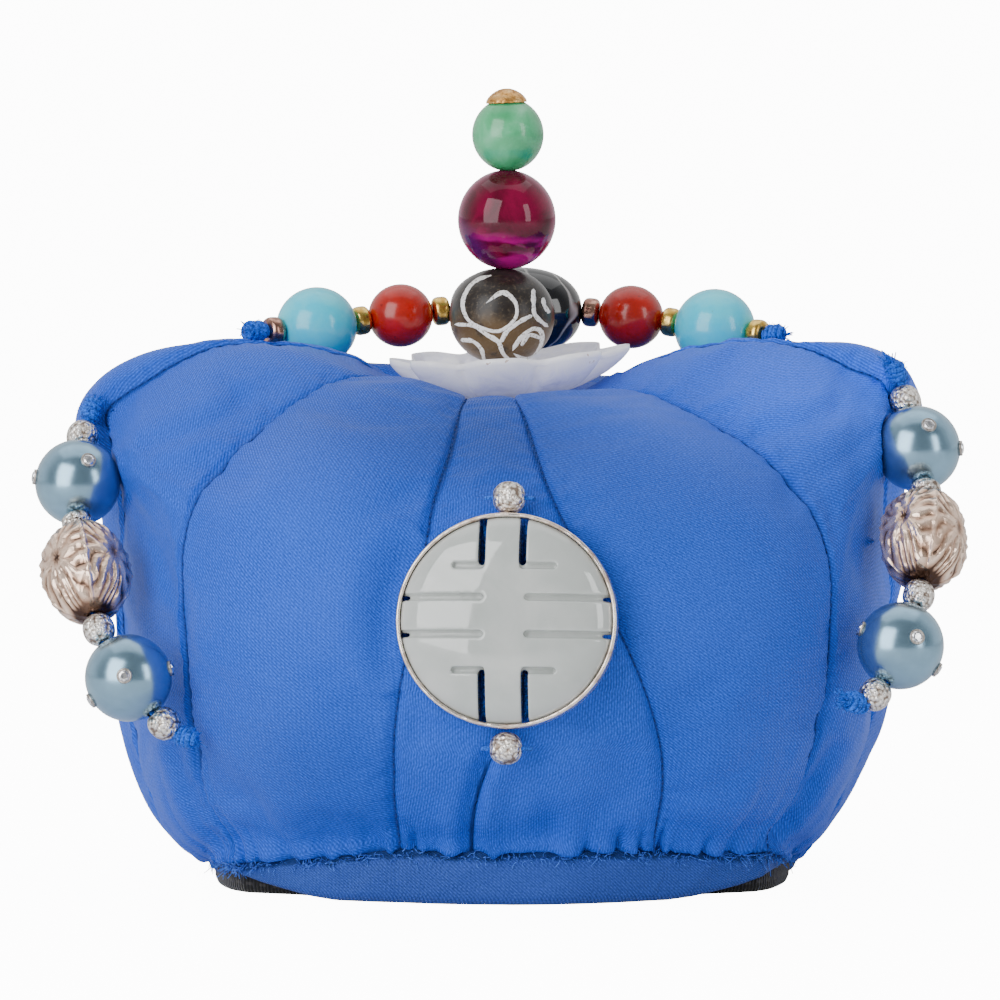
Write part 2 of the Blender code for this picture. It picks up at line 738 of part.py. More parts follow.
def main():
    for old in list(bpy.data.objects):
        bpy.data.objects.remove(old, do_unlink=True)
    laid = {
        "left": lay_string(SIDE_STRING, LEFT_PATH),
        "right": lay_string(SIDE_STRING, RIGHT_PATH),
        "top": lay_string(TOP_STRING, TOP_PATH),
    }
    seats = [seat for _, _, _, string_seats in laid.values() for seat in string_seats]
    seats += [(centre, BEADS["silver"][0]) for _, centre in medallion_beads()]
    add_crown(seats)
    add_hem_and_band()
    add_medallion()
    add_medallion_beads()
    add_flower()
    add_stack()
    for prefix, string in laid.items():
        add_string(prefix, string)


main()
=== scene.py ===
"""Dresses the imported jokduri, a padded bridal coronet: every piece gets its full shape and its cloth,
stone, metal or thread, and stands on a pale stage."""

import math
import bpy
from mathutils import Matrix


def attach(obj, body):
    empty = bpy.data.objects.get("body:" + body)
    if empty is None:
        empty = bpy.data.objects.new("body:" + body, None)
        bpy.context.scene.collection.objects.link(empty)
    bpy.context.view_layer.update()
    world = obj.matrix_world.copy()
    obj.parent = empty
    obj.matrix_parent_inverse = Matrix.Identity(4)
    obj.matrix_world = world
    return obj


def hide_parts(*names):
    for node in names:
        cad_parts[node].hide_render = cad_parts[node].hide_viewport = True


bl_info = {
    "name": "Jokduri",
    "version": (1, 0, 0),
    "blender": (4, 5, 0),
    "location": "3D View > Sidebar > Jokduri",
    "description": "Makes a padded bridal coronet on its packed solids",
    "category": "Object",
}

import bmesh
import bpy
import numpy as np
from bpy.props import FloatProperty, FloatVectorProperty, IntProperty, PointerProperty
from bpy.types import Operator, Panel, PropertyGroup
from mathutils import Matrix, Vector

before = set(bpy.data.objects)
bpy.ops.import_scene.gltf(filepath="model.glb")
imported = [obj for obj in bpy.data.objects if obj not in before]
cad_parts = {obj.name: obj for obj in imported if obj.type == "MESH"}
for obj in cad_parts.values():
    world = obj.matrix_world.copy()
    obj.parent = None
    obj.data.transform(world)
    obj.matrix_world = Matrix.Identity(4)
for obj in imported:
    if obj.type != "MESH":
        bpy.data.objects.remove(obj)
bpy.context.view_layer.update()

MM = 0.001
SHIFT = np.array([0.7, 3.3, 0.0])

# The crown's seams by level from the middle of the top to the hem: turn from the front in degrees, distance
# from the axis and height in mm, as the solid crown has them.
LEFT_SEAM = {
    "turn": (-82,) * 14,
    "reach": (0, 12, 20, 29, 42, 55, 67, 75, 73, 73, 71, 64.8, 57, 53),
    "height": (87.4, 88.0, 92.2, 97.2, 99.4, 98.8, 92.8, 86, 72, 50, 29, 11.5, 2.2, 5),
}
LEFT_FRONT_SEAM = {
    "turn": (-60, -60, -58, -54, -54, -54, -53.5, -53, -53, -53, -53.5, -54, -53, -52),
    "reach": (0, 12, 22, 31, 40, 51, 62, 71.5, 74.3, 73.5, 71.2, 67.5, 64, 61.5),
    "height": (87.4, 88.5, 91.2, 94.0, 92.9, 87.8, 81, 72, 62, 46, 31, 18.5, 10.5, 6.2),
}
LEFT_MIDDLE_SEAM = {
    "turn": (-25, -22, -17, -13, -11.5, -10.5, -11.5, -12, -13.3, -14.7, -16.5, -17.9, -18.8, -19.4),
    "reach": (0, 12, 22, 30, 40, 51.5, 60.5, 66.5, 69.4, 70.6, 69, 64.5, 59.5, 56.3),
    "height": (87.4, 88, 89.4, 90.4, 88.3, 82.6, 75.2, 66.5, 56, 44.5, 32.3, 20.8, 13.5, 10.3),
}
RIGHT_MIDDLE_SEAM = {
    "turn": (8, 6, 4.5, 4.5, 5.5, 6.5, 8, 11, 15, 19.5, 24, 26.5, 27.7, 28.3),
    "reach": (0, 12, 22, 30, 40, 51.5, 60.5, 66.3, 69.2, 70.6, 69, 65, 60, 57),
    "height": (87.4, 88, 89.2, 90.0, 88.0, 82.4, 75.5, 66.8, 56.5, 45, 31.5, 20.8, 13.5, 10),
}
RIGHT_FRONT_SEAM = {
    "turn": (60, 60, 56, 53, 51.5, 51.5, 52, 52.7, 53, 53.2, 54, 54.3, 53.5, 52.5),
    "reach": (0, 12, 22, 31, 40, 51, 61.5, 71, 75.2, 75, 72, 66.5, 62, 60),
    "height": (87.4, 88.3, 90.2, 91.2, 89.4, 85.2, 79.3, 70.5, 61, 48, 33, 19.5, 12, 8),
}
RIGHT_SEAM = {
    "turn": (82,) * 14,
    "reach": (0, 12, 20, 29, 42, 55, 65, 72, 71.2, 72.6, 69.4, 61.8, 55.6, 53.2),
    "height": (87.4, 88.8, 93.0, 97, 99.6, 99.1, 95.2, 90.8, 78, 52, 30, 12, 2.2, 5),
}
STUFFING = {
    "side": (0, 0.2, 0.4, 0.6, 0.9, 1.4, 2.2, 1.4, 0.8, 1.2, 1.8, 2.0, 1.0, 0),
    "front": (0, 0.2, 0.5, 0.9, 1.6, 2.5, 3.2, 3.3, 3.0, 2.8, 2.8, 2.6, 1.2, 0),
    "gusset": (0, 0.1, 0.2, 0.3, 0.5, 0.8, 1.0, 1.0, 0.9, 0.8, 0.8, 0.7, 0.3, 0),
    "rear side": (0, 0.1, 0.3, 0.8, 1.5, 3.6, 7.8, 7.4, 3.5, 2.2, 2.2, 2.2, 1.0, 0),
}
PANEL_KINDS = ("side", "front", "gusset", "front", "side", "rear side", "front", "gusset", "front", "rear side")
# The way the weave runs in each panel, degrees from its upright middle line.
PANEL_GRAIN = (-42, -52, 8, -50, -42, 30, 38, 0, -38, -30)
FULLNESS = 0.8
LAST_LEVEL = 13
STUFFING_FRAMES = 16
STUFFING_MOST = 0.9  # mm that the simulation may move the cloth

# The hollow below, the hem and the black band, mm, as the solids have them.
HOLLOW = ((0.985, 24.0), (0.9, 40.0), (0.68, 51.0), (0.35, 57.0), (0.02, 58.5))
PADDING_AT_MOUTH = 7.5
HEM_DEPTH = 4.0
HEM_SWELL = 1.0
# The hem's lower edge rises from the front to the corners: share of the way and height in mm.
HEM_BOTTOM = ((0.0, 0.17, 0.5, 0.77, 1.0), (0.1, 0.6, 2.4, 4.5, 5.4))
BAND_SHOWS_FROM = 32.0
BAND_SHOWS_FULL = 62.0
GAP = 0.35

# The medallion's place and sizes, mm and degrees.
MEDALLION_CENTRE = np.array([0.9, -68.2, 51.9])
MEDALLION_TURN = -5.0
MEDALLION_RISE = 8.0
MEDALLION_TALL = 0.972  # share of its width
MEDALLION_LIFT = 0.75
BEZEL_RADIUS = 19.9
BEZEL_WALL = 0.8
BEZEL_DEPTH = 4.2
JADE_EDGE = 3.2
JADE_DOME = 5.6
JADE_REACH = BEZEL_RADIUS - BEZEL_WALL - 0.03
JADE_BACK = 0.3
JADE_FULLNESS = 0.94
# The slots' sides in mm, and how deep they are cut: through, or a groove below the dome.
THROUGH = -2.0
GROOVE = -1.35
SLOTS = (
    (-4.9, -3.6, 10.0, 19.6, THROUGH), (-9.6, -3.7, 9.4, 10.5, GROOVE),
    (2.4, 3.7, 10.0, 19.6, THROUGH), (2.5, 9.2, 9.4, 10.5, GROOVE),
    (-19.6, -3.7, 3.5, 4.7, GROOVE), (3.4, 19.6, 3.5, 4.7, GROOVE),
    (-19.6, -3.7, -3.3, -2.1, GROOVE), (3.4, 19.6, -3.3, -2.1, GROOVE),
    (-19.6, -17.2, 3.6, 4.3, THROUGH), (17.2, 19.6, 3.6, 4.3, THROUGH),
    (-19.6, -17.2, -3.2, -2.5, THROUGH), (17.2, 19.6, -3.2, -2.5, THROUGH),
    (-9.6, -3.5, -9.9, -8.8, GROOVE), (3.1, 9.2, -9.9, -8.8, GROOVE),
    (-4.7, -3.4, -19.6, -9.2, THROUGH), (3.0, 4.3, -19.6, -9.2, THROUGH),
)

# The flower under the stack, mm.
PETALS = 8
FLOWER_REACH = 22.5
FLOWER_LEAN = 2.1
FLOWER_TILT = 3.4
FLOWER_MIDDLE_X = -0.6
FLOWER_PIVOT = 92.0

# Bead kinds: radius, half length along the thread and roundness (2 is an ellipse), mm.
BEADS = {
    "pearl": (7.9, 8.0, 2.0),
    "lantern": (8.2, 10.35, 2.3),
    "silver": (2.95, 3.0, 2.2),
    "disc": (2.9, 1.5, 2.6),
    "turquoise": (7.5, 7.7, 2.0),
    "coral": (6.0, 6.15, 2.0),
    "ring": (2.75, 1.72, 3.4),
    "agate": (8.35, 12.55, 2.3),
    "carved": (9.8, 8.95, 2.1),
    "magenta": (9.15, 9.3, 2.0),
    "green": (6.7, 6.85, 2.0),
}
FOIL_FACES = (260, 120)  # round a pressed silver bead and from end to end
BORE_RADIUS = 0.85
THREAD_RADIUS = 0.45
KNOT_LENGTH = 4.6
SIDE_STRING = (
    ("silver_bead_1", "silver"), ("pearl_1", "pearl"), ("disc", "disc"), ("lantern_bead", "lantern"),
    ("silver_bead_2", "silver"), ("pearl_2", "pearl"), ("silver_bead_3", "silver"),
)
TOP_STRING = (
    ("ring_1", "bronze ring"), ("turquoise_1", "turquoise"), ("ring_2", "gold ring"), ("coral_1", "coral"),
    ("ring_3", "gold ring"), ("agate", "agate"), ("ring_4", "bronze ring"), ("coral_2", "coral"),
    ("ring_5", "gold ring"), ("turquoise_2", "turquoise"), ("ring_6", "gold ring"),
)
# Where each string's two knots end, mm.
STRING_ENDS = {
    "left": ((-75.6, -10.4, 88.8), (-58.8, -49.0, 30.0)),
    "right": ((72.2, -8.0, 95.0), (65.6, -51.8, 36.2)),
    "top": ((-48.4, 11.0, 100.6), (52.4, 10.6, 99.8)),
}
# How far the right string's knots spread to the front of the cloth, mm.
KNOT_SPREAD = {"right": ((0.0, -3.4, 1.2), (-4.6, -3.6, 1.6)), "left": ((0.0, -0.6, 0.2), (0.6, -0.8, 0.2))}


def length(name, description, default):
    return FloatProperty(name=name, description=description, unit="LENGTH", default=default)


def tint(name, description, default):
    return FloatVectorProperty(name=name, description=description, subtype="COLOR", size=4, default=default)


class CoronetCloth(PropertyGroup):
    """The satin, its seams and gathers."""

    colour: tint("Satin", "Colour of the satin", (0.022, 0.105, 0.82, 1))
    weave_pitch: length("Weave pitch", "Width of one diagonal rib of the weave", 0.00052)
    seam_depth: length("Seam depth", "How far a sewn seam pulls the cloth in", 0.00032)
    stitch_pitch: length("Stitch pitch", "Distance from one seam stitch to the next", 0.0016)
    gather_depth: length("Gather depth", "Height of the gathers above the hem seam", 0.0019)
    panel_columns: IntProperty(
        name="Columns", description="Columns of cloth faces across one panel, an even number", default=40, min=8
    )
    rows: IntProperty(name="Rows", description="Rows of cloth points down the crown, odd", default=193, min=33)
    pressure: FloatProperty(
        name="Stuffing pressure", description="Pressure of the padding in the cloth simulation", default=2.5
    )
    press_room: length("Bead dent", "Room that the cloth leaves round a bead on it", 0.0005)


class CoronetBeads(PropertyGroup):
    """The beads, their threads and knots."""

    sides: IntProperty(name="Sides", description="Faces round a bead", default=56, min=12)
    rows: IntProperty(name="Rows", description="Rows of faces from end to end of a bead", default=28, min=8)
    pearl: tint("Pearl", "Colour of the pearls", (0.23, 0.38, 0.5, 1))
    turquoise: tint("Turquoise", "Colour of the turquoise", (0.012, 0.62, 0.83, 1))
    coral: tint("Coral", "Colour of the coral", (0.41, 0.011, 0.005, 1))
    thread: tint("Thread", "Colour of the threads and knots", (0.008, 0.12, 0.78, 1))
    stone_cup: length("Stone cup", "Radius of the cups that hold the small clear stones", 0.00145)


class CoronetStage(PropertyGroup):
    """The floor, the lights and the camera."""

    floor_size: length("Floor", "Side of the floor", 60.0)
    distance: length("Distance", "Camera to object", 1.6)
    elevation: FloatProperty(
        name="Elevation", description="Camera above the level", subtype="ANGLE", default=math.radians(4.0)
    )
    aim_height: length("Aim", "Height the camera looks at", 0.075)
    pixels_per_mm: FloatProperty(name="Scale", description="Pixels to the millimetre at the aim", default=5.35)


# Nodes.


def put(tree, value, socket):
    """Links another node's socket, or sets a value; a colour of three numbers is opaque."""
    if isinstance(value, bpy.types.NodeSocket):
        tree.links.new(value, socket)
    else:
        socket.default_value = (*value, 1) if socket.type == "RGBA" and len(value) == 3 else value


def add_node(tree, kind, settings=None, **inputs):
    """A node with its settings and its inputs, by name with _ for a space, or by number, as i0."""
    node = tree.nodes.new(kind)
    for key, value in (settings or {}).items():
        setattr(node, key, value)
    for key, value in inputs.items():
        numbered = key[0] == "i" and key[1:].isdigit()
        put(tree, value, node.inputs[int(key[1:]) if numbered else key.replace("_", " ")])
    return node


def node_group(name, kind, inputs, outputs):
    """An empty node group with its inputs and outputs; each input has a name, a kind and perhaps a default."""
    tree = bpy.data.node_groups.new(name, kind)
    for way, sockets in (("INPUT", inputs), ("OUTPUT", outputs)):
        for label, socket_kind, *default in sockets:
            socket = tree.interface.new_socket(name=label, in_out=way, socket_type="NodeSocket" + socket_kind)
            if default:
                socket.default_value = default[0]
    return tree, tree.nodes.new("NodeGroupInput").outputs, tree.nodes.new("NodeGroupOutput").inputs


def kept_tree(build):
    """The node group that a function builds, built when it's first asked for."""
    name = build.__name__.replace("_", " ")
    return bpy.data.node_groups.get(name) or build(name)


def value_of(tree, operation, first, second=0.5, third=0.5, clamp=False):
    settings = {"operation": operation, "use_clamp": clamp}
    return add_node(tree, "ShaderNodeMath", settings, i0=first, i1=second, i2=third).outputs[0]


def times(tree, first, second):
    return value_of(tree, "MULTIPLY", first, second)


def plus(tree, first, second):
    return value_of(tree, "ADD", first, second)


def times_plus(tree, first, second, third, clamp=False):
    return value_of(tree, "MULTIPLY_ADD", first, second, third, clamp)


def sine(tree, value, pace):
    return value_of(tree, "SINE", times(tree, value, pace))


def split(tree, vector):
    """A vector's x, y and z."""
    return add_node(tree, "ShaderNodeSeparateXYZ", Vector=vector).outputs[:]


def spread(tree, value, low, high, out_low=0.0, out_high=1.0):
    """Maps a value's range to another, smoothly and clamped."""
    node = add_node(
        tree, "ShaderNodeMapRange", {"interpolation_type": "SMOOTHSTEP"},
        Value=value, From_Min=low, From_Max=high, To_Min=out_low, To_Max=out_high,
    )
    return node.outputs["Result"]


def mixed(tree, share, first, second, how="MIX"):
    """Colour mix."""
    settings = {"data_type": "RGBA", "blend_type": how}
    return add_node(tree, "ShaderNodeMix", settings, i0=share, i6=first, i7=second).outputs[2]


def ramp(tree, value, *stops):
    """Colours at places from 0 to 1; each stop is a place and its colour."""
    node = add_node(tree, "ShaderNodeValToRGB", Fac=value)
    marks = node.color_ramp.elements
    while len(marks) < len(stops):
        marks.new(0.5)
    for mark, (place, *colour) in zip(marks, stops):
        mark.position = place
        mark.color = (*colour, 1)
    return node.outputs["Color"]


def shaded(colour, share, lift=0.0):
    """A colour made darker or lighter."""
    return tuple(min(part * share + lift, 1.0) for part in colour[:3])


def noise_of(tree, place, scale, detail=2.0, rough=0.5, twist=0.0):
    return add_node(
        tree, "ShaderNodeTexNoise", Vector=place, Scale=scale, Detail=detail, Roughness=rough, Distortion=twist
    ).outputs["Fac"]


def cells_of(tree, place, scale):
    return add_node(tree, "ShaderNodeTexVoronoi", Vector=place, Scale=scale).outputs["Distance"]


def object_place(tree):
    return add_node(tree, "ShaderNodeTexCoord").outputs["Object"]


def attribute(tree, name, output="Fac"):
    return add_node(tree, "ShaderNodeAttribute", {"attribute_name": name}).outputs[output]


def bump(tree, height, strength, distance, **normal):
    node = add_node(tree, "ShaderNodeBump", Height=height, Strength=strength, Distance=distance, **normal)
    return node.outputs["Normal"]


def connect(tree, shader, **inputs):
    for key, value in inputs.items():
        put(tree, value, shader.inputs[key.replace("_", " ")])


def new_material(name, **values):
    """A material with a Principled BSDF set to these values; returns it with its tree and shader."""
    made = bpy.data.materials.new(name)
    made.use_nodes = True
    tree = made.node_tree
    connect(tree, tree.nodes["Principled BSDF"], **values)
    return made, tree, tree.nodes["Principled BSDF"]


def satin_weave(name):
    """Satin weave: fine ribs broken into short floats, from a place in mm and the width of one rib in mm. Its
    Shade, from the ribs' height, is painted shade between the ribs and painted sheen on the floats.
    """
    inputs = (("Place", "Vector"), ("Pitch", "Float", 0.56))
    tree, given, result = node_group(name, "ShaderNodeTree", inputs, (("Height", "Float"), ("Shade", "Float")))
    place, pitch = given["Place"], given["Pitch"]
    x, y, _ = split(tree, place)
    ribs = plus(tree, value_of(tree, "DIVIDE", x, pitch), times(tree, noise_of(tree, place, 0.05, 1.0), 3.0))
    wave = times_plus(tree, sine(tree, ribs, 2 * math.pi), 0.5, 0.5)
    run = value_of(tree, "DIVIDE", y, times(tree, pitch, 2.3))
    run = plus(tree, run, times(tree, value_of(tree, "FLOOR", ribs), 0.4))
    cell = add_node(tree, "ShaderNodeCombineXYZ", X=ribs, Y=run).outputs[0]
    uneven = spread(tree, noise_of(tree, cell, 0.8, 1.0), 0.3, 0.7, 0.65, 1.0)
    floats = times(tree, times_plus(tree, sine(tree, run, 2 * math.pi), 0.3, 0.7), uneven)
    grain = spread(tree, noise_of(tree, place, 2.4, 1.0), 0.3, 0.7)
    height = times_plus(tree, grain, 0.3, times(tree, times(tree, wave, floats), 0.85))
    put(tree, height, result["Height"])
    put(tree, times_plus(tree, height, 0.8, 0.2, True), result["Shade"])
    return tree


# The pleat below the medallion: height of its upper end, its run down and how far it strays leftwards, metres.
PLEAT_TOP = 0.0278
PLEAT_RUN = 0.0156
PLEAT_LEFT = -0.0048
PLEAT_STRAY = 0.0034


def pleat(tree, here):
    """How near each place is to the pleat's edge, and how far the cloth on its right lies over the left."""
    x, y, z = split(tree, here)
    up = times_plus(tree, z, 1 / PLEAT_RUN, 1 - PLEAT_TOP / PLEAT_RUN, True)
    off = value_of(tree, "SUBTRACT", x, times_plus(tree, times(tree, up, up), PLEAT_STRAY, PLEAT_LEFT))
    near = times(tree, spread(tree, z, PLEAT_TOP + 0.002, PLEAT_TOP - 0.003), spread(tree, y, -0.03, -0.04))
    edge = spread(tree, value_of(tree, "ABSOLUTE", plus(tree, off, 0.0002)), 0.00065, 0.0001)
    over = times(tree, spread(tree, off, -0.0002, 0.0003), spread(tree, off, 0.006, 0.0006))
    return times(tree, edge, near), times(tree, over, near)


def satin(name, colour, pitch, pleated=False):
    """Satin cloth that reads its weave from the piece's cloth map, in tenths of a metre."""
    made, tree, shader = new_material(
        name, Roughness=0.46, Sheen_Weight=0.05, Sheen_Roughness=0.4, Sheen_Tint=(0.3, 0.5, 1.0),
        Specular_IOR_Level=0.3, Specular_Tint=(0.4, 0.65, 1.0),
    )
    uv = add_node(tree, "ShaderNodeUVMap", {"uv_map": "cloth"}).outputs["UV"]
    place = add_node(tree, "ShaderNodeVectorMath", {"operation": "SCALE"}, Vector=uv, Scale=100.0).outputs[0]
    group = {"node_tree": kept_tree(satin_weave)}
    weave = add_node(tree, "ShaderNodeGroup", group, Place=place, Pitch=pitch / MM).outputs
    here = object_place(tree)
    # The weave in the colour: a shaded copy of the satin between the ribs and a lit copy on the floats, painted
    # shade and painted sheen.
    base = mixed(tree, weave["Shade"], shaded(colour, 0.24), shaded(colour, 1.5))
    base = mixed(tree, spread(tree, noise_of(tree, here, 38.0), 0.3, 0.7, 0.0, 0.12), base, (0.07, 0.2, 0.95))
    # Painted shade where the seam gap is small: the satin darkens along its seams, along the crown's lower edge
    # and on the hem under the crown's lip.
    groove = spread(tree, attribute(tree, "seam_gap"), 0.0, 0.42, 0.75, 0.0)
    base = mixed(tree, groove, base, shaded(colour, 0.14))
    # The satin's colour times its factor of painted shade and painted highlight; on the hem the factor is a flat
    # 0.8.
    base = mixed(tree, 1.0, base, attribute(tree, "tone"), "MULTIPLY")
    drawn = add_node(tree, "ShaderNodeMapping", Vector=here, Scale=(1.0, 1.0, 0.16)).outputs[0]
    creases = times(tree, noise_of(tree, drawn, 330.0, 3.0, 0.55, 0.3), attribute(tree, "gather"))
    if pleated:
        edge, over = pleat(tree, here)
        # Painted shade along the pleat's edge, where the cloth on the right folds over the left.
        base = mixed(tree, times(tree, edge, 0.85), base, shaded(colour, 0.1))
        creases = times_plus(tree, over, 0.9, creases)
    normal = bump(tree, weave["Height"], 0.95, 0.00015, Normal=bump(tree, creases, 1.0, 0.0011))
    rough = spread(tree, weave["Shade"], 0.2, 1.0, 0.56, 0.38)
    connect(tree, shader, Base_Color=base, Roughness=rough, Normal=normal)
    return made


# Shapes.


def blend(values, place):
    """Values between table entries, on a smooth curve through them."""
    values = np.asarray(values, float)
    last = len(values) - 1
    place = np.asarray(place, float)
    low = np.clip(np.floor(place).astype(int), 0, last - 1)
    t = place - low
    a, b, c, d = (values[np.clip(low + k, 0, last)] for k in (-1, 0, 1, 2))
    slope_in = (c - a) / 2
    slope_out = (d - b) / 2
    return (
        b * (2 * t**3 - 3 * t**2 + 1)
        + slope_in * (t**3 - 2 * t**2 + t)
        + c * (3 * t**2 - 2 * t**3)
        + slope_out * (t**3 - t**2)
    )

def smooth_path(points, steps):
    """A fine row of points on a smooth curve through a few, with this many steps from one to the next."""
    points = np.asarray(points, float)
    place = np.linspace(0, len(points) - 1, (len(points) - 1) * steps + 1)
    return np.stack([blend(column, place) for column in points.T], axis=1)


def ease(low, high, value):
    share = np.clip((value - low) / (high - low), 0.0, 1.0)
    return share * share * (3 - 2 * share)


def unit(vectors):
    return vectors / np.maximum(np.linalg.norm(vectors, axis=-1, keepdims=True), 1e-9)

def bell(value, middle, width):
    return np.exp(-(((value - middle) / width) ** 2))


def turns_round(count):
    """Even turns round an axis, in radians."""
    return np.arange(count) / count * 2 * math.pi


def run_along(points):
    """How far along its row each point lies."""
    return np.concatenate([[0], np.cumsum(np.linalg.norm(np.diff(points, axis=0), axis=1))])


def run_across(grid):
    return np.stack([run_along(row) for row in grid])


def closed(grid):
    """The grid with its first column again at its end."""
    return np.concatenate([grid, grid[:, :1]], axis=1)


def add_object(name, data):
    made = bpy.data.objects.new(name, data)
    bpy.context.scene.collection.objects.link(made)
    return made


def evaluated(thing):
    """The mesh that an object's modifiers make."""
    graph = bpy.context.evaluated_depsgraph_get()
    return bpy.data.meshes.new_from_object(thing.evaluated_get(graph))


def places_of(mesh):
    """A mesh's points in mm."""
    flat = np.zeros(len(mesh.vertices) * 3)
    mesh.vertices.foreach_get("co", flat)
    return flat.reshape(-1, 3) / MM


def skin(name, grid, close_rows=False, close_columns=True, tips=(None, None), uv=None):
    """A mesh over a grid of points in mm: its rows run down the outside and its columns go round leftwards to
    the right, seen from the front. A tip closes the first or the last row. uv holds each face's four corners."""
    rows, columns, _ = grid.shape
    index = np.arange(rows * columns).reshape(rows, columns)
    if close_rows:
        index = np.vstack([index, index[:1]])
    if close_columns:
        index = np.hstack([index, index[:, :1]])
    quads = np.stack([index[:-1, :-1], index[1:, :-1], index[1:, 1:], index[:-1, 1:]], axis=-1).reshape(-1, 4)
    points = grid.reshape(-1, 3)
    faces = quads.tolist()
    for tip, row, forward in ((tips[0], index[0], True), (tips[1], index[-1], False)):
        if tip is None:
            continue
        points = np.vstack([points, tip])
        top = len(points) - 1
        for i in range(len(row) - 1):
            pair = (int(row[i]), int(row[i + 1]))
            faces.append((top, pair[0], pair[1]) if forward else (top, pair[1], pair[0]))
    mesh = bpy.data.meshes.new(name)
    mesh.from_pydata(((points + SHIFT) * MM).tolist(), [], faces)
    if uv is not None:
        layer = mesh.uv_layers.new(name="cloth")
        flat = np.zeros((len(mesh.loops), 2), np.float32)
        flat[: len(quads) * 4] = uv.reshape(-1, 2)
        layer.data.foreach_set("uv", flat.ravel())
    return mesh

def small_skin(name, grid, first, last):
    """A closed skin about the origin, for helpers and for shapes that are set many times."""
    return skin(name, grid - SHIFT, tips=(np.asarray(first) - SHIFT, np.asarray(last) - SHIFT))


def set_attribute(mesh, name, values, kind="FLOAT"):
    """Stores values on the mesh's first points; a closing tip keeps zero."""
    layer = mesh.attributes.new(name, kind, "POINT")
    width = 3 if kind == "FLOAT_VECTOR" else 1
    flat = np.zeros((len(mesh.vertices), width), np.float32)
    flat[: len(values)] = np.asarray(values, np.float32).reshape(-1, width)
    layer.data.foreach_set("vector" if width == 3 else "value", flat.ravel())


def add_piece(name, mesh, material, nodes=(), smooth=True):
    """A finished mesh as a piece of the object that stands for these solids."""
    if material is not None:
        mesh.materials.clear()
        mesh.materials.append(material)
    mesh.polygons.foreach_set("use_smooth", [smooth] * len(mesh.polygons))
    piece = add_object(name, mesh)
    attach(piece, "root")
    if nodes:
        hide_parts(*nodes)
    return piece


def joined(name, meshes):
    """One mesh from several, keeping attributes and materials."""
    parts = [add_object(name, mesh) for mesh in meshes]
    with bpy.context.temp_override(active_object=parts[0], selected_editable_objects=parts, object=parts[0]):
        bpy.ops.object.join()
    mesh = parts[0].data
    bpy.data.objects.remove(parts[0])
    return mesh


def rear(seam):
    return {**seam, "turn": tuple(180 - turn for turn in seam["turn"])}


def panels():
    """The ten panels from the left side seam round the front: first seam, second seam and kind."""
    around = [LEFT_SEAM, LEFT_FRONT_SEAM, LEFT_MIDDLE_SEAM, RIGHT_MIDDLE_SEAM, RIGHT_FRONT_SEAM, RIGHT_SEAM]
    around += [rear(RIGHT_FRONT_SEAM), rear(RIGHT_MIDDLE_SEAM), rear(LEFT_MIDDLE_SEAM), rear(LEFT_FRONT_SEAM)]
    around.append({**LEFT_SEAM, "turn": tuple(turn + 360 for turn in LEFT_SEAM["turn"])})
    return [(around[i], around[i + 1], kind) for i, kind in enumerate(PANEL_KINDS)]


def medallion_frame():
    """Columns right, up and outward on the medallion."""
    turn = math.radians(MEDALLION_TURN)
    rise = math.radians(MEDALLION_RISE)
    outward = np.array([math.sin(turn) * math.cos(rise), -math.cos(turn) * math.cos(rise), math.sin(rise)])
    across = np.array([math.cos(turn), math.sin(turn), 0.0])
    return np.stack([across, np.cross(outward, across), outward], axis=1)


def on_medallion(points):
    """Places on the medallion as points of the coronet."""
    turned = medallion_frame()
    lift = turned[:, 1] * MEDALLION_LIFT
    return points * np.array([1.0, MEDALLION_TALL, 1.0]) @ turned.T + MEDALLION_CENTRE + lift


def panel_points(panel, shares, levels):
    """Points of one panel of the crown: a row for each level and a column for each share of its width."""
    first, second, kind = panel
    across = shares[None, :]

    def between(key, place):
        return blend(first[key], place)[:, None] * (1 - across) + blend(second[key], place)[:, None] * across

    turn = np.radians(between("turn", levels))
    reach = between("reach", levels)
    height = between("height", levels)
    up = np.maximum(levels - 0.05, 0)
    down = np.minimum(levels + 0.05, LAST_LEVEL)
    out_run = between("reach", down) - between("reach", up)
    drop = between("height", down) - between("height", up)
    size = np.maximum(np.hypot(out_run, drop), 1e-9)
    skew = across
    if kind == "rear side":
        skew = across**0.6 if first["turn"][5] < 100 else 1 - (1 - across) ** 0.6
    swell = np.maximum(np.sin(math.pi * skew), 0.0) ** FULLNESS * blend(STUFFING[kind], levels)[:, None]
    reach = reach + swell * -drop / size
    height = height + swell * out_run / size
    return np.stack([reach * np.sin(turn), -reach * np.cos(turn), height], axis=-1)


def pressed(points, seats, room):
    """The cloth lies flat behind the medallion and gives way under beads and knots."""
    outward = medallion_frame()[:, 2]
    away = points - MEDALLION_CENTRE
    out = away @ outward
    sideways = np.linalg.norm(away - out[..., None] * outward, axis=-1)
    press = (1 - ease(BEZEL_RADIUS + 1.5, BEZEL_RADIUS + 10.0, sideways)) * np.maximum(out + GAP, 0.0)
    points = points - press[..., None] * outward
    for centre, radius in seats:
        away = points - centre
        size = np.linalg.norm(away, axis=-1, keepdims=True)
        clear = radius + room
        points = np.where(size < clear, centre + away * (clear / np.maximum(size, 1e-6)), points)
    return points


def node_points(name):
    """The solid's corners in mm, each once, in the coronet's own coordinates."""
    return np.unique(np.round(places_of(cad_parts[name].data), 2), axis=0) - SHIFT


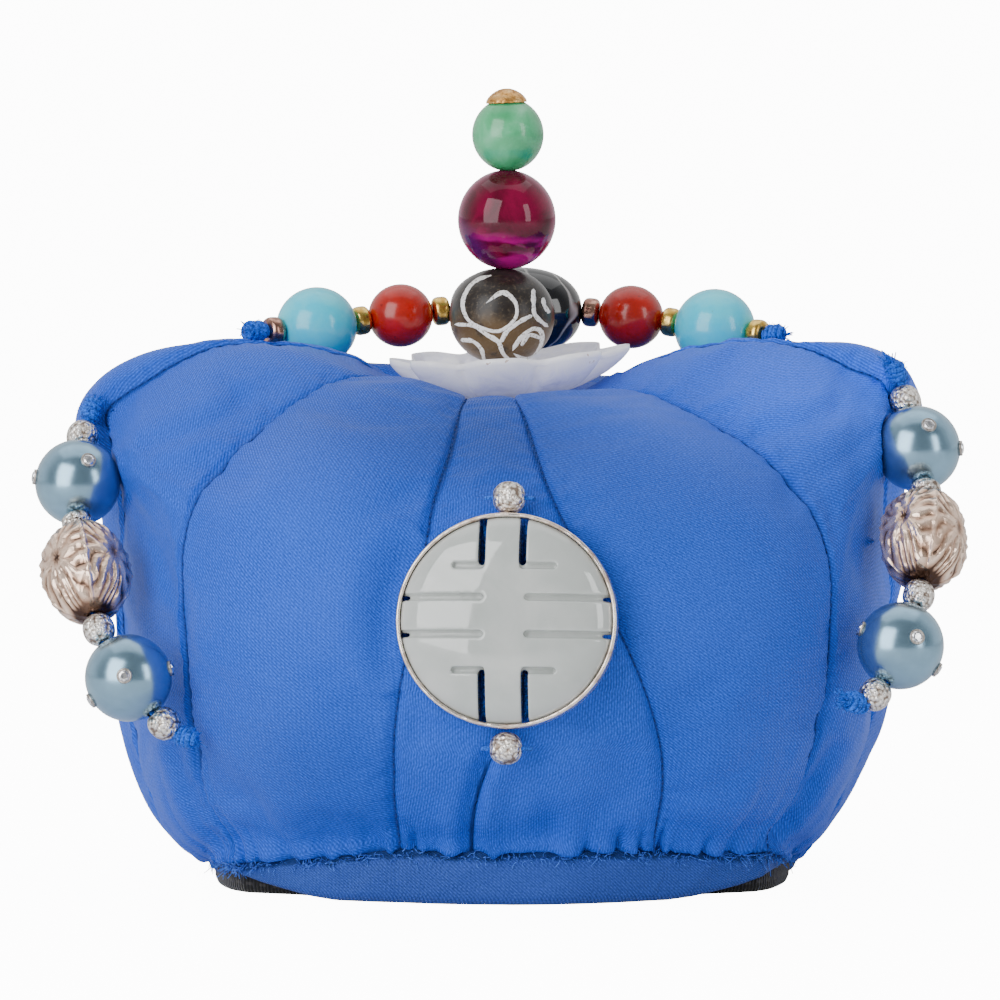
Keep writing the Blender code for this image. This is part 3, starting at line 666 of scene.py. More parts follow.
def bead_frame(name):
    """A drilled bead's centre and its frame: z along the bore, -y as far to the front as that lets it."""
    points = node_points(name)
    centre = points.mean(axis=0)
    sizes, axes = np.linalg.eigh(np.cov((points - centre).T))
    axis = axes[:, 0] if sizes[1] - sizes[0] > sizes[2] - sizes[1] else axes[:, 2]
    lead = axis[2] if abs(axis[2]) > 0.35 else axis[0]
    axis = axis if lead > 0 else -axis
    front = np.array([0.0, -1.0, 0.0])
    front = unit(front - axis * (front @ axis))
    return centre, np.stack([np.cross(-front, axis), -front, axis], axis=1)


def string_beads(prefix, beads):
    return [(f"{prefix}_{name}", kind, *bead_frame(f"{prefix}_{name}")) for name, kind in beads]


def bead_size(kind):
    return BEADS["ring" if "ring" in kind else kind]


def bead_end(kind):
    """Half length of the drilled bead, where its end meets the bore's rim."""
    radius, half, power = bead_size(kind)
    return half * (1 - ((BORE_RADIUS + 0.3) / radius) ** power) ** (1 / power)


def all_seats():
    """Centres and radii of what presses into the cloth."""
    seats = []
    for prefix, beads in (("left", SIDE_STRING), ("right", SIDE_STRING), ("top", TOP_STRING)):
        laid = string_beads(prefix, beads)
        seats += [(centre, bead_size(kind)[0]) for _, kind, centre, _ in laid]
        for place, bead in zip(STRING_ENDS[prefix], (laid[0], laid[-1])):
            place = np.array(place)
            run = unit(bead[2] - place)
            seats += [(place + run * part * KNOT_LENGTH, 2.1) for part in (0.1, 0.5, 0.9)]
    for name in ("medallion_bead_upper", "medallion_bead_lower"):
        seats.append((bead_frame(name)[0], bead_size("silver")[0]))
    return seats


def even_levels(count):
    """Levels that divide the cloth's run down the front into even steps."""
    fine = np.linspace(0.35, LAST_LEVEL, 600)
    run = run_along(panel_points(panels()[1], np.array([0.5]), fine)[:, 0])
    return np.interp(np.linspace(0, run[-1], count), run, fine)


def panel_shares(columns):
    """Shares across a panel, closer together beside the seams."""
    even = np.linspace(0, 1, columns + 1)
    return 0.45 * even + 0.55 * (0.5 - 0.5 * np.cos(math.pi * even))


def grid_normals(grid):
    """Outward normals of a grid that closes round."""
    around = np.roll(grid, -1, axis=1) - np.roll(grid, 1, axis=1)
    down = np.gradient(grid, axis=0)
    return unit(np.cross(down, around))


def cloth_map(panel_grid, grain, column):
    """A panel's flat place in tenths of a metre, turned to its grain. Its run down is that of one column."""
    across = run_across(panel_grid)
    across -= across[:, -1:] / 2
    down = np.repeat(run_along(panel_grid[:, column])[:, None], across.shape[1], axis=1)
    cos, sin = math.cos(math.radians(grain)), math.sin(math.radians(grain))
    return np.stack([across * cos + down * sin, down * cos - across * sin], -1) / 100


def face_corners(values):
    """Each face's four corners out of a grid of values, in the order that skin uses."""
    return np.stack([values[:-1, :-1], values[1:, :-1], values[1:, 1:], values[:-1, 1:]], axis=2)


def hollow_rows(edge, lift):
    """Rows of points up the hollow below the cloth, from inside its edge."""
    first = inward(edge, PADDING_AT_MOUTH, edge[:, 2] + lift)
    rows = [np.column_stack([first[:, :2] * share, np.full(len(edge), height)]) for share, height in HOLLOW]
    return np.stack([first, *rows])


def stuffed(grid, seam_gap, held, pressure):
    """Blows the cloth up between its seams with a cloth simulation and returns how far each point moves."""
    rows, columns, _ = grid.shape
    whole = np.concatenate([grid, hollow_rows(grid[-1], 1.0)])
    top = np.array([0, 0, LEFT_SEAM["height"][0]])
    mesh = skin("stuffing", whole, tips=(top, np.array([0, 0, HOLLOW[-1][1]])))
    body = add_object("stuffing", mesh)
    pins = body.vertex_groups.new(name="sewn")
    weights = np.ones(len(mesh.vertices))
    weights[: rows * columns] = np.maximum(held, seam_gap < 0.01).astype(float).ravel()
    pins.add([int(i) for i in np.nonzero(weights > 0.5)[0]], 1.0, "REPLACE")
    cloth = body.modifiers.new("cloth", "CLOTH")
    for key, value in (
        ("quality", 4), ("mass", 0.2), ("tension_stiffness", 12), ("compression_stiffness", 12),
        ("shear_stiffness", 6), ("bending_stiffness", 0.4), ("shrink_min", -0.018), ("use_pressure", True),
        ("uniform_pressure_force", pressure), ("vertex_group_mass", pins.name),
    ):
        setattr(cloth.settings, key, value)
    cloth.settings.effector_weights.gravity = 0.0
    cloth.collision_settings.use_collision = False
    scene = bpy.context.scene
    for frame in range(1, STUFFING_FRAMES + 1):
        scene.frame_set(frame)
    moved = places_of(evaluated(body))[: rows * columns].reshape(rows, columns, 3) - SHIFT - grid
    bpy.data.objects.remove(body)
    scene.frame_set(1)
    size = np.linalg.norm(moved, axis=-1, keepdims=True)
    return moved * np.minimum(1.0, STUFFING_MOST / np.maximum(size, 1e-6))


def finer(coarse, rows, columns):
    """A coarse grid of moves spread over a grid of twice as many points, and smoothed."""
    tall = np.zeros((rows, coarse.shape[1], 3))
    tall[::2] = coarse
    tall[1::2] = (coarse[:-1] + coarse[1:]) / 2
    wide = np.zeros((rows, columns, 3))
    wide[:, ::2] = tall
    wide[:, 1::2] = (tall + np.roll(tall, -1, axis=1)) / 2
    for _ in range(2):
        wide[1:-1] = (wide[:-2] + 2 * wide[1:-1] + wide[2:]) / 4
        wide = (np.roll(wide, 1, axis=1) + 2 * wide + np.roll(wide, -1, axis=1)) / 4
    return wide


def inward(points, depth, height):
    """Points moved towards the axis and set at a height."""
    reach = np.hypot(points[:, 0], points[:, 1])
    scale = (reach - depth) / reach
    return np.column_stack([points[:, 0] * scale, points[:, 1] * scale, np.broadcast_to(height, reach.shape)])


def ripples(columns, count, seed):
    """An uneven row of gathers round the hem, from -1 to 1."""
    turn = turns_round(columns)
    sway = 2.2 * np.sin(9 * turn + seed) + 1.4 * np.sin(23 * turn + 2 * seed) + 0.8 * np.sin(37 * turn)
    size = 0.55 + 0.3 * np.sin(13 * turn + seed) + 0.15 * np.sin(31 * turn + 3 * seed)
    return np.sin(count * turn + sway) * size


def tucks(columns, count, seed):
    """An uneven row of narrow valleys round the hem, 1 at the bottom of each."""
    turn = turns_round(columns)
    sway = 1.9 * np.sin(7 * turn + seed) + 1.2 * np.sin(17 * turn + 2 * seed) + 0.7 * np.sin(41 * turn + seed)
    size = 0.62 + 0.28 * np.sin(11 * turn + seed) + 0.2 * np.sin(29 * turn + 3 * seed)
    return (1 - np.abs(np.sin(0.5 * (count * turn + sway)))) ** 2 * size


def lip_drop(columns):
    """How far the crown's edge hangs over the hem's upper edge round it, mm."""
    return 0.3 + np.clip(0.5 + 0.6 * ripples(columns, 34, 1.3) + 0.3 * ripples(columns, 61, 0.5), 0.0, 1.4)


# Folds on the front, each a row of places x, z in mm, with its depth and half width in mm.
FOLDS = (
    (((-2.2, 28.5), (-4.2, 24.5), (-5.4, 20.5), (-6.2, 16.0), (-6.2, 11.0)), 1.7, 1.25),
    (((1.4, 28.0), (-0.6, 23.0), (-2.0, 18.0), (-2.0, 11.0)), -0.8, 1.7),
    (((6.0, 28.0), (7.0, 20.0), (8.0, 12.0)), 0.5, 1.6),
    (((-66.0, 82.5), (-58.0, 85.0), (-48.0, 89.5)), 0.7, 1.6),
    (((-68.0, 79.0), (-58.0, 79.5), (-48.0, 77.0)), 0.5, 2.0),
    (((-70.5, 73.0), (-66.0, 66.0), (-62.0, 57.0)), 0.4, 2.0),
    (((66.0, 89.0), (57.0, 86.5), (47.0, 84.0)), 0.6, 1.6),
    (((68.0, 84.0), (60.0, 78.0), (52.0, 74.0)), 0.5, 2.0),
    (((57.5, 33.0), (50.0, 29.0), (40.0, 22.0)), 0.5, 2.2),
    (((-57.0, 27.0), (-50.0, 22.0), (-44.0, 15.0)), 0.5, 2.2),
    (((27.0, 18.0), (22.0, 26.0), (15.0, 36.0)), 0.35, 2.4),
    (((-24.0, 14.0), (-20.0, 22.0), (-17.0, 31.0)), 0.3, 2.4),
    (((48.0, 9.0), (54.0, 15.0), (61.0, 27.0)), 0.9, 1.3),
    (((42.0, 10.0), (47.0, 17.0), (52.0, 27.0)), 0.6, 1.6),
    (((-49.0, 9.0), (-55.0, 15.0), (-61.0, 26.0)), 0.7, 1.4),
)
# Painted shade and painted highlights on the satin, where it shows less or more light than the rest: place x, z
# and reach across and up in mm, and change.
PAINTED_LIGHT_SPOTS = (
    (-2.0, 84.0, 17.0, 10.0, -0.4),
    (-24.0, 88.0, 18.0, 9.0, -0.18),
    (-36.0, 24.0, 22.0, 15.0, -0.2),
    (24.0, 74.0, 14.0, 16.0, -0.16),
    (58.0, 92.0, 24.0, 9.0, 0.55),
    (72.0, 60.0, 9.0, 26.0, 0.35),
    (-46.0, 62.0, 18.0, 16.0, 0.06),
    (26.0, 36.0, 16.0, 12.0, -0.08),
)


def fold_depth(grid):
    """How deep each point of the cloth lies in the folds of the front, mm."""
    depth = np.zeros(grid.shape[:2])
    for places, deep, width in FOLDS:
        line = smooth_path(places, 6)
        nearest = np.full(grid.shape[:2], 1e9)
        for a, b in zip(line[:-1], line[1:]):
            run = b - a
            away = grid[..., [0, 2]] - a
            share = np.clip((away @ run) / (run @ run), 0, 1)
            nearest = np.minimum(nearest, np.linalg.norm(away - share[..., None] * run, axis=-1))
        depth += deep * bell(nearest, 0, width) - 0.35 * deep * bell(nearest, 2.2 * width, width)
    return depth * (grid[..., 1] < 0)


def painted_light_of(grid):
    """The factor of painted shade and painted highlight on the satin's colour at each point."""
    tone = np.ones(grid.shape[:2])
    for x, z, across, up, change in PAINTED_LIGHT_SPOTS:
        away = ((grid[..., 0] - x) / across) ** 2 + ((grid[..., 2] - z) / up) ** 2
        tone += change * np.exp(-away) * (grid[..., 1] < 0)
    return tone


def cloth_depth(grid, level, seam_gap, settings):
    """How far each point of the cloth is drawn in by seams, puckers, gathers and folds, mm."""
    count = grid.shape[1]
    turn = turns_round(count)
    run = run_along(grid[:, 8])[:, None]
    depth = settings.seam_depth / MM * bell(seam_gap, 0, 0.5) * ease(1.0, 2.6, level)
    depth += 0.12 * bell(seam_gap, 0, 2.3) * ease(1.0, 2.6, level)
    pucker = np.sin(2 * math.pi * run / 3.4 + 1.3 * np.sin(run / 4.3) + 5 * turn)
    pucker = pucker + 0.6 * np.sin(2 * math.pi * run / 7.9 + 3 * turn)
    depth += 0.14 * pucker * bell(seam_gap, 1.7, 1.4) * ease(2.0, 4.0, level)
    gather = settings.gather_depth / MM
    depth += gather * tucks(count, 64, 0.7) * ease(11.2, 12.8, level)
    depth += 0.6 * gather * tucks(count, 26, 2.4) * ease(9.6, 12.3, level)
    depth -= 0.3 * gather * ripples(count, 97, 1.1) * ease(12.1, 12.9, level)
    overhang = 1.15 - 1.3 * tucks(count, 64, 0.7) + 0.35 * ripples(count, 31, 0.2)
    depth -= overhang * bell(level, 12.66, 0.28)
    broad = np.sin(3 * turn + 0.9) * np.sin(0.9 * level) + np.sin(7 * turn + 2.0) * np.sin(1.7 * level + 1)
    depth += 0.22 * broad * ease(2.0, 5.0, level)
    depth += fold_depth(grid)
    side = np.degrees(np.arctan2(grid[..., 0], -grid[..., 1]))
    lumps = 0.8 + 0.35 * np.sin(np.radians(side) * 7 + 0.6)
    depth -= 1.1 * lumps * bell(level, 3.2, 0.8) * (1 - ease(25.0, 55.0, np.abs(side)))
    return depth + 1.1 * bell(side, -82, 42) * ease(4.0, 6.0, level) * (1 - ease(9.5, 11.5, level))


def crown_cloth(settings):
    """The satin's points, and how far each is from its seam, how gathered it is and its factor of painted shade
    and painted highlight.
    """
    levels = even_levels(settings.rows)
    seats = all_seats()
    around = [panel_points(panel, panel_shares(settings.panel_columns), levels) for panel in panels()]
    grid = np.concatenate([part[:, :-1] for part in around], axis=1)
    runs = [run_across(part) for part in around]
    seam_gap = np.concatenate([np.minimum(run, run[:, -1:] - run)[:, :-1] for run in runs], axis=1)
    count = grid.shape[1]
    plain = pressed(grid, seats, 1.0)
    held = (np.linalg.norm(plain - grid, axis=-1) > 0.02) | (levels < 2.2)[:, None] | (levels > 12.7)[:, None]
    moved = stuffed(plain[::2, ::2], seam_gap[::2, ::2], held[::2, ::2], settings.pressure)
    moved = finer(moved, settings.rows, count)
    grid = grid + (moved - grid_normals(grid) * 0.55) * (~held)[..., None]
    level = np.repeat(levels[:, None], count, axis=1)
    depth = cloth_depth(grid, level, seam_gap, settings)
    foot = grid[-1].copy()
    tone = painted_light_of(grid)
    grid = pressed(grid - grid_normals(grid) * depth[..., None], seats, settings.press_room / MM)
    grid[..., 2] -= lip_drop(count) * ease(11.9, 12.85, level)
    grid[-1] = inward(foot, 0.5, foot[:, 2] - GAP - 0.25)
    gather = ease(10.6, 12.9, level) + 0.5 * bell(seam_gap, 1.5, 1.8) * ease(3.0, 6.0, level)
    # The last row's seam gap only darkens its colour: painted shade along the crown's lower edge.
    seam_gap[-1] = 0.15
    return grid, seam_gap, np.minimum(gather, 1.0), tone


# What follows a path or scatters over a surface, as Geometry Nodes.


def geometry_tree(name, *inputs):
    """An empty tree that will set its Shape on the geometry that it gets."""
    inputs = (("Geometry", "Geometry"), ("Shape", "Object"), *inputs, ("Material", "Material"))
    return node_group(name, "GeometryNodeTree", inputs, (("Geometry", "Geometry"),))


def set_shapes(tree, given, result, points, rotation, **scale):
    """Ends a tree: its shape on each point, made real and in its material."""
    shape = add_node(tree, "GeometryNodeObjectInfo", Object=given["Shape"]).outputs["Geometry"]
    placed = add_node(
        tree, "GeometryNodeInstanceOnPoints", Points=points, Instance=shape, Rotation=rotation, **scale
    ).outputs[0]
    real = add_node(tree, "GeometryNodeRealizeInstances", Geometry=placed).outputs[0]
    painted = add_node(tree, "GeometryNodeSetMaterial", Geometry=real, Material=given["Material"])
    put(tree, painted.outputs[0], result[0])
    return tree


def turned_at_random(tree, rotation, most, seed):
    """A rotation turned further about each axis, by up to this much each way."""
    ends = []
    for sign in (-1.0, 1.0):
        turn = times(tree, most, sign)
        ends.append(add_node(tree, "ShaderNodeCombineXYZ", X=turn, Y=turn, Z=turn).outputs[0])
    turn = add_node(
        tree, "FunctionNodeRandomValue", {"data_type": "FLOAT_VECTOR"}, i0=ends[0], i1=ends[1], Seed=seed
    ).outputs[0]
    turn = add_node(tree, "FunctionNodeEulerToRotation", i0=turn).outputs[0]
    return add_node(
        tree, "FunctionNodeRotateRotation", {"rotation_space": "LOCAL"}, i0=rotation, i1=turn
    ).outputs[0]


def way_out(tree):
    """The way out of the surface that each point keeps."""
    return add_node(
        tree, "GeometryNodeInputNamedAttribute", {"data_type": "FLOAT_VECTOR"}, Name="out"
    ).outputs[0]


def facing(tree, axis, vector, **more):
    settings = {"axis": axis, "pivot_axis": "X"} if more else {"axis": axis}
    return add_node(tree, "FunctionNodeAlignRotationToVector", settings, Vector=vector, **more).outputs[0]


def set_along_a_line(name):
    """Sets a small shape at even steps on a line, lying along it and facing out of the cloth."""
    own = (("Step", "Float", 0.0016), ("Sway", "Float", 0.2), ("Seed", "Int", 3))
    tree, given, result = geometry_tree(name, *own)
    line = add_node(tree, "GeometryNodeMeshToCurve", Mesh=given["Geometry"]).outputs[0]
    steps = add_node(tree, "GeometryNodeResampleCurve", {"mode": "LENGTH"}, Curve=line, Length=given["Step"])
    lying = facing(tree, "X", tree.nodes.new("GeometryNodeInputTangent").outputs[0])
    turned = facing(tree, "Z", way_out(tree), Rotation=lying)
    turned = turned_at_random(tree, turned, given["Sway"], given["Seed"])
    return set_shapes(tree, given, result, steps.outputs[0], turned)


def scatter_over_a_surface(name):
    """Scatters a small shape over a surface, standing out of it and turned at random."""
    own = (("Density", "Float", 1e6), ("Lean", "Float", 0.9), ("Seed", "Int", 5))
    tree, given, result = geometry_tree(name, *own)
    points = add_node(
        tree, "GeometryNodeDistributePointsOnFaces", Mesh=given["Geometry"], Density=given["Density"],
        Seed=given["Seed"],
    ).outputs
    turned = turned_at_random(tree, points["Rotation"], given["Lean"], given["Seed"])
    size = add_node(
        tree, "FunctionNodeRandomValue", {"data_type": "FLOAT"}, i2=0.55, i3=1.15, Seed=given["Seed"]
    ).outputs[1]
    return set_shapes(tree, given, result, points["Points"], turned, Scale=size)


def set_on_points(name):
    """Sets a small shape on points, standing out of the surface."""
    tree, given, result = geometry_tree(name)
    return set_shapes(tree, given, result, given["Geometry"], facing(tree, "Z", way_out(tree)))


def set_many(build, mesh, shape, **values):
    """The plain mesh that a tree makes with a small shape on this mesh."""
    tree = kept_tree(build)
    source, pattern = add_object("source", mesh), add_object("shape", shape)
    modifier = source.modifiers.new(tree.name, "NODES")
    modifier.node_group = tree
    values["Shape"] = pattern
    for item in tree.interface.items_tree:
        if item.item_type == "SOCKET" and item.in_out == "INPUT" and item.name in values:
            modifier[item.identifier] = values[item.name]
    bpy.context.view_layer.update()
    made = evaluated(source)
    for helper in (source, pattern):
        bpy.data.objects.remove(helper)
    return made


def line_mesh(lines, outs):
    """Open lines in mm, or single points, with the way out of the cloth at each point."""
    mesh = bpy.data.meshes.new("lines")
    edges = []
    start = 0
    for line in lines:
        edges += [(start + i, start + i + 1) for i in range(len(line) - 1)]
        start += len(line)
    mesh.from_pydata(((np.concatenate(lines) + SHIFT) * MM).tolist(), edges, [])
    set_attribute(mesh, "out", np.concatenate(outs), "FLOAT_VECTOR")
    return mesh


def round_ring(radius, height, sides):
    turns = turns_round(sides)
    return np.stack([radius * np.cos(turns), radius * np.sin(turns), np.full(sides, height)], axis=1)


def lathe(outline, sides):
    """Rings of points for an outline of radii and heights."""
    return np.stack([round_ring(radius, height, sides) for radius, height in outline])


def capsule(length, radius):
    """A stitch lying along x about the origin, in metres."""
    outline = ((0.55, 0.5), (1.0, 0.32), (1.0, -0.32), (0.55, -0.5))
    grid = lathe([(radius * share, length * place) for share, place in outline], 6)[..., [2, 0, 1]] / MM
    return small_skin("stitch", grid, grid[0].mean(0), grid[-1].mean(0))


def fibre(length, radius):
    """A bent loose fibre that stands up from the origin, in metres."""
    t = np.linspace(0, 1, 7)
    line = np.stack([0.42 * length * t**2, 0.14 * length * np.sin(4 * t), length * (t - 0.35 * t**2)], axis=1)
    return tube("fibre", line / MM - SHIFT, np.full(7, radius / MM) * (1 - 0.5 * t), 4)


def tube(name, line, radii, sides=10):
    """A round skin along a line in mm."""
    line = np.asarray(line, float)
    run = unit(np.gradient(line, axis=0))
    side = unit(np.cross(run[0], [0.3, 0.9, 0.2]))
    turns = turns_round(sides)
    grid = []
    for place, radius, ahead in zip(line, np.broadcast_to(radii, len(line)), run):
        side = unit(side - ahead * (side @ ahead))
        other = np.cross(ahead, side)
        grid.append(place + radius * (np.cos(turns)[:, None] * side + np.sin(turns)[:, None] * other))
    return skin(name, np.stack(grid)[::-1], tips=(line[-1], line[0]))


def thread_material(name, colour, rough=0.75):
    """Twisted thread: strands that wind round it, with painted shade between the strands and lighter colour on
    them.
    """
    made, tree, shader = new_material(name, Roughness=rough, Sheen_Weight=0.06, Specular_IOR_Level=0.25)
    strands = noise_of(tree, object_place(tree), 2300.0, 2.0, 0.6, 0.6)
    # The strands in the colour: a shaded copy of the thread and a lit copy, painted shade that follows the bump.
    base = mixed(tree, spread(tree, strands, 0.3, 0.7), shaded(colour, 0.3), shaded(colour, 1.5, 0.005))
    connect(tree, shader, Base_Color=base, Normal=bump(tree, strands, 0.8, 0.00025))
    return made


def coil_line(place, run, turns, length, radius):
    """The line of yarn wound round a thread about a place."""
    t = np.linspace(0, 1, int(26 * turns))
    ahead = unit(np.asarray(run, float))
    side = unit(np.cross(ahead, [0.2, 0.5, 0.8]))
    other = np.cross(ahead, side)
    angle = (2 * math.pi * turns * t)[:, None]
    reach = (radius * (0.72 + 0.28 * np.sin(math.pi * t) + 0.06 * np.sin(11 * t)))[:, None]
    lean = 0.28 * np.cos(angle)
    along = ((t - 0.5) * length)[:, None]
    return place + ahead * (along + lean) + reach * (side * np.cos(angle) + other * np.sin(angle))


def strands(place, ahead, count, length, seed):
    """Loose ends of yarn that fan out of a knot."""
    rng = np.random.default_rng(seed)
    made = []
    for _ in range(count):
        way = unit(ahead + rng.normal(0, 0.42, 3))
        curl = rng.normal(0, 0.5, 3)
        t = np.linspace(0, 1, 8)[:, None]
        line = place + way * length * rng.uniform(0.6, 1.1) * t + curl * t**2 * 1.1
        made.append(tube("strand", line, np.linspace(0.2, 0.1, 8) * rng.uniform(0.7, 1.2), 6))
    return made


# Beads.


def bead_grid(kind, sides, rows):
    """A drilled bead in its own coordinates: rings down its outside and up its bore."""
    radius, half, power = bead_size(kind)
    end = bead_end(kind)
    lean = math.acos(min(end / half, 1.0))
    angle = lean + (math.pi - 2 * lean) * np.arange(rows + 1) / rows
    along = half * np.sign(np.cos(angle)) * np.abs(np.cos(angle)) ** (2 / power)
    along = np.clip(along, -end, end)
    out = radius * (1 - (np.abs(along) / half) ** power) ** (1 / power)
    out = np.concatenate([out, [BORE_RADIUS + 0.08, BORE_RADIUS, BORE_RADIUS, BORE_RADIUS + 0.08]])
    along = np.concatenate([along, [-end, -end + 0.2, end - 0.2, end]])
    return lathe(zip(out, along), sides)


def pressed_foil(grid):
    """Pressed foil: four faces, each pleated outwards from its middle like a star, with ridges between them."""
    half = BEADS["lantern"][1]
    x, y, z = grid[..., 0], grid[..., 1], grid[..., 2]
    reach = np.hypot(x, y)
    face = ((np.arctan2(y, x) + math.radians(80)) / (math.pi / 2)) % 1.0 - 0.5
    a = face * 1.9
    b = z / half
    burst = np.hypot(a, b)
    angle = np.arctan2(b, a) / (2 * math.pi)
    star = np.abs(((angle * 8 + 0.06 * np.sin(9 * burst)) % 1.0) - 0.5) * 2
    pleats = np.abs(((angle * 19 + 0.3 * np.sin(6 * burst + 19 * angle)) % 1.0) - 0.5) * 2
    leaf = np.maximum(0.0, 1 - np.abs(burst - 0.12 - 0.42 * star) / 0.3)
    relief = 0.55 * star * ease(0.05, 0.25, burst) * (1 - ease(0.5, 0.75, burst))
    relief += (0.25 + 0.55 * ease(0.35, 0.8, burst)) * pleats * ease(0.12, 0.3, burst) + 0.35 * leaf
    ridge = bell(0.5 - np.abs(face), 0, 0.03) * (0.75 + 0.2 * np.sin(26 * b))
    skin_side = reach > BORE_RADIUS + 0.5
    outside = skin_side * (1 - ease(0.84, 0.97, np.abs(b)))
    flat = 1 - 0.05 * (1 - (2 * np.abs(face)) ** 2)
    out = reach * flat + outside * (relief * 0.46 + ridge * 0.42 - 0.4)
    scale = np.where(skin_side, out / np.maximum(reach, 1e-6), 1.0)
    return np.stack([x * scale, y * scale, z], axis=-1), np.clip(relief * 0.85 + ridge * 0.6, 0, 1) * outside


def bead_materials(settings):
    """The finish of each kind of bead, by name."""
    made = {}

    made["pearl"], tree, shader = new_material(
        "pearl", Metallic=0.9, Roughness=0.23, Coat_Weight=0.12, Coat_Roughness=0.12
    )
    mist = noise_of(tree, object_place(tree), 420.0, 3.0)
    deep = settings.pearl
    colour = mixed(tree, spread(tree, mist, 0.35, 0.65, 0.0, 0.3), deep, shaded(deep, 1.35))
    connect(tree, shader, Base_Color=colour, Normal=bump(tree, mist, 0.1, 0.0001))

    made["turquoise"], tree, shader = new_material(
        "turquoise", Roughness=0.2, Coat_Weight=0.25, Coat_Roughness=0.05
    )
    here = object_place(tree)
    cloud = noise_of(tree, here, 210.0, 4.0, 0.6)
    veins = noise_of(tree, here, 95.0, 6.0, 0.7, 1.4)
    colour = mixed(tree, spread(tree, cloud, 0.35, 0.7, 0.0, 0.55), settings.turquoise, (0.12, 0.72, 0.82))
    colour = mixed(tree, spread(tree, veins, 0.66, 0.7, 0.0, 0.55), colour, (0.2, 0.28, 0.2))
    connect(tree, shader, Base_Color=colour)

    made["coral"], tree, shader = new_material("coral", Roughness=0.22, Coat_Weight=0.12, Coat_Roughness=0.06)
    here = object_place(tree)
    cloud = noise_of(tree, here, 260.0, 4.0, 0.6, 0.5)
    deep = settings.coral
    colour = mixed(tree, spread(tree, cloud, 0.35, 0.7), deep, shaded(deep, 1.25))
    pits = spread(tree, noise_of(tree, here, 900.0, 1.0), 0.7, 0.78, 0.0, 0.6)
    connect(tree, shader, Base_Color=mixed(tree, pits, colour, (0.16, 0.006, 0.004)))

    for name, light, dark in (
        ("gold ring", (0.92, 0.66, 0.2), (0.6, 0.36, 0.07)),
        ("bronze ring", (0.62, 0.36, 0.27), (0.26, 0.13, 0.1)),
    ):
        made[name], tree, shader = new_material(name, Metallic=1.0, Roughness=0.2)
        wear = noise_of(tree, object_place(tree), 700.0, 3.0)
        colour = mixed(tree, spread(tree, wear, 0.35, 0.65), light, dark)
        connect(tree, shader, Base_Color=colour, Roughness=spread(tree, wear, 0.3, 0.7, 0.14, 0.34))

    made["silver"], tree, shader = new_material("granulated silver", Metallic=1.0, Roughness=0.3)
    here = object_place(tree)
    lump = plus(tree, cells_of(tree, here, 1250.0), times(tree, noise_of(tree, here, 2600.0), 0.4))
    colour = ramp(tree, lump, (0.4, 1.0, 0.98, 0.95), (0.72, 0.85, 0.8, 0.74), (0.98, 0.26, 0.2, 0.16))
    connect(tree, shader, Base_Color=colour, Roughness=spread(tree, lump, 0.3, 0.8, 0.14, 0.4),
            Normal=bump(tree, times(tree, lump, -1.0), 0.85, 0.00045))
    made["disc"] = made["silver"]

    made["lantern"], tree, shader = new_material("pressed silver", Metallic=0.78, Roughness=0.3)
    here = object_place(tree)
    tarnish = noise_of(tree, here, 130.0, 3.0)
    relief = attribute(tree, "relief")
    # Painted shade in the pressed foil: the colour darkens to near black in the low grooves and lightens on the
    # raised pleats and ridges.
    colour = ramp(tree, relief, (0.04, 0.06, 0.03, 0.02), (0.2, 0.55, 0.36, 0.26), (0.6, 0.96, 0.74, 0.6))
    colour = mixed(tree, spread(tree, tarnish, 0.45, 0.7, 0.0, 0.4), colour, (0.6, 0.36, 0.24))
    connect(tree, shader, Base_Color=colour, Roughness=spread(tree, tarnish, 0.35, 0.7, 0.13, 0.32),
            Normal=bump(tree, cells_of(tree, here, 620.0), 0.45, 0.0008))

    made["agate"], tree, shader = new_material(
        "banded agate", Roughness=0.08, Coat_Weight=0.35, Coat_Roughness=0.03
    )
    place = attribute(tree, "bead_place", "Vector")
    x, _, z = split(tree, place)
    sway = noise_of(tree, place, 0.8, 1.0, 0.4, 0.3)
    bands = plus(tree, times(tree, z, 0.42), times(tree, sway, 0.45))
    bands = times(tree, plus(tree, bands, times(tree, times(tree, x, x), 0.2)), 1.9)
    colour = ramp(
        tree, value_of(tree, "FRACT", bands), (0.0, 0.006, 0.007, 0.009), (0.3, 0.008, 0.009, 0.011),
        (0.335, 0.5, 0.48, 0.46), (0.37, 0.012, 0.012, 0.014), (0.52, 0.02, 0.018, 0.018),
        (0.56, 0.16, 0.05, 0.03), (0.6, 0.01, 0.01, 0.012), (0.8, 0.008, 0.009, 0.011), (0.83, 0.3, 0.3, 0.29),
        (0.86, 0.006, 0.007, 0.009),
    )
    connect(tree, shader, Base_Color=colour)

    made["carved"], tree, shader = new_material("carved stone", Roughness=0.28, Specular_IOR_Level=0.3)
    place = attribute(tree, "bead_place", "Vector")
    cloud = noise_of(tree, place, 2.2, 4.0, 0.6, 0.4)
    grit = noise_of(tree, place, 16.0, 3.0, 0.7)
    grey = spread(tree, plus(tree, split(tree, place)[2], times(tree, cloud, 0.6)), 0.05, 0.5)
    colour = mixed(tree, grey, (0.1, 0.06, 0.024), (0.026, 0.022, 0.02))
    colour = mixed(tree, spread(tree, cloud, 0.48, 0.66, 0.0, 0.85), colour, (0.018, 0.013, 0.01))
    colour = mixed(tree, spread(tree, grit, 0.5, 0.75, 0.0, 0.45), colour, (0.17, 0.13, 0.085))
    connect(tree, shader, Base_Color=colour, Normal=bump(tree, grit, 0.15, 0.0003))

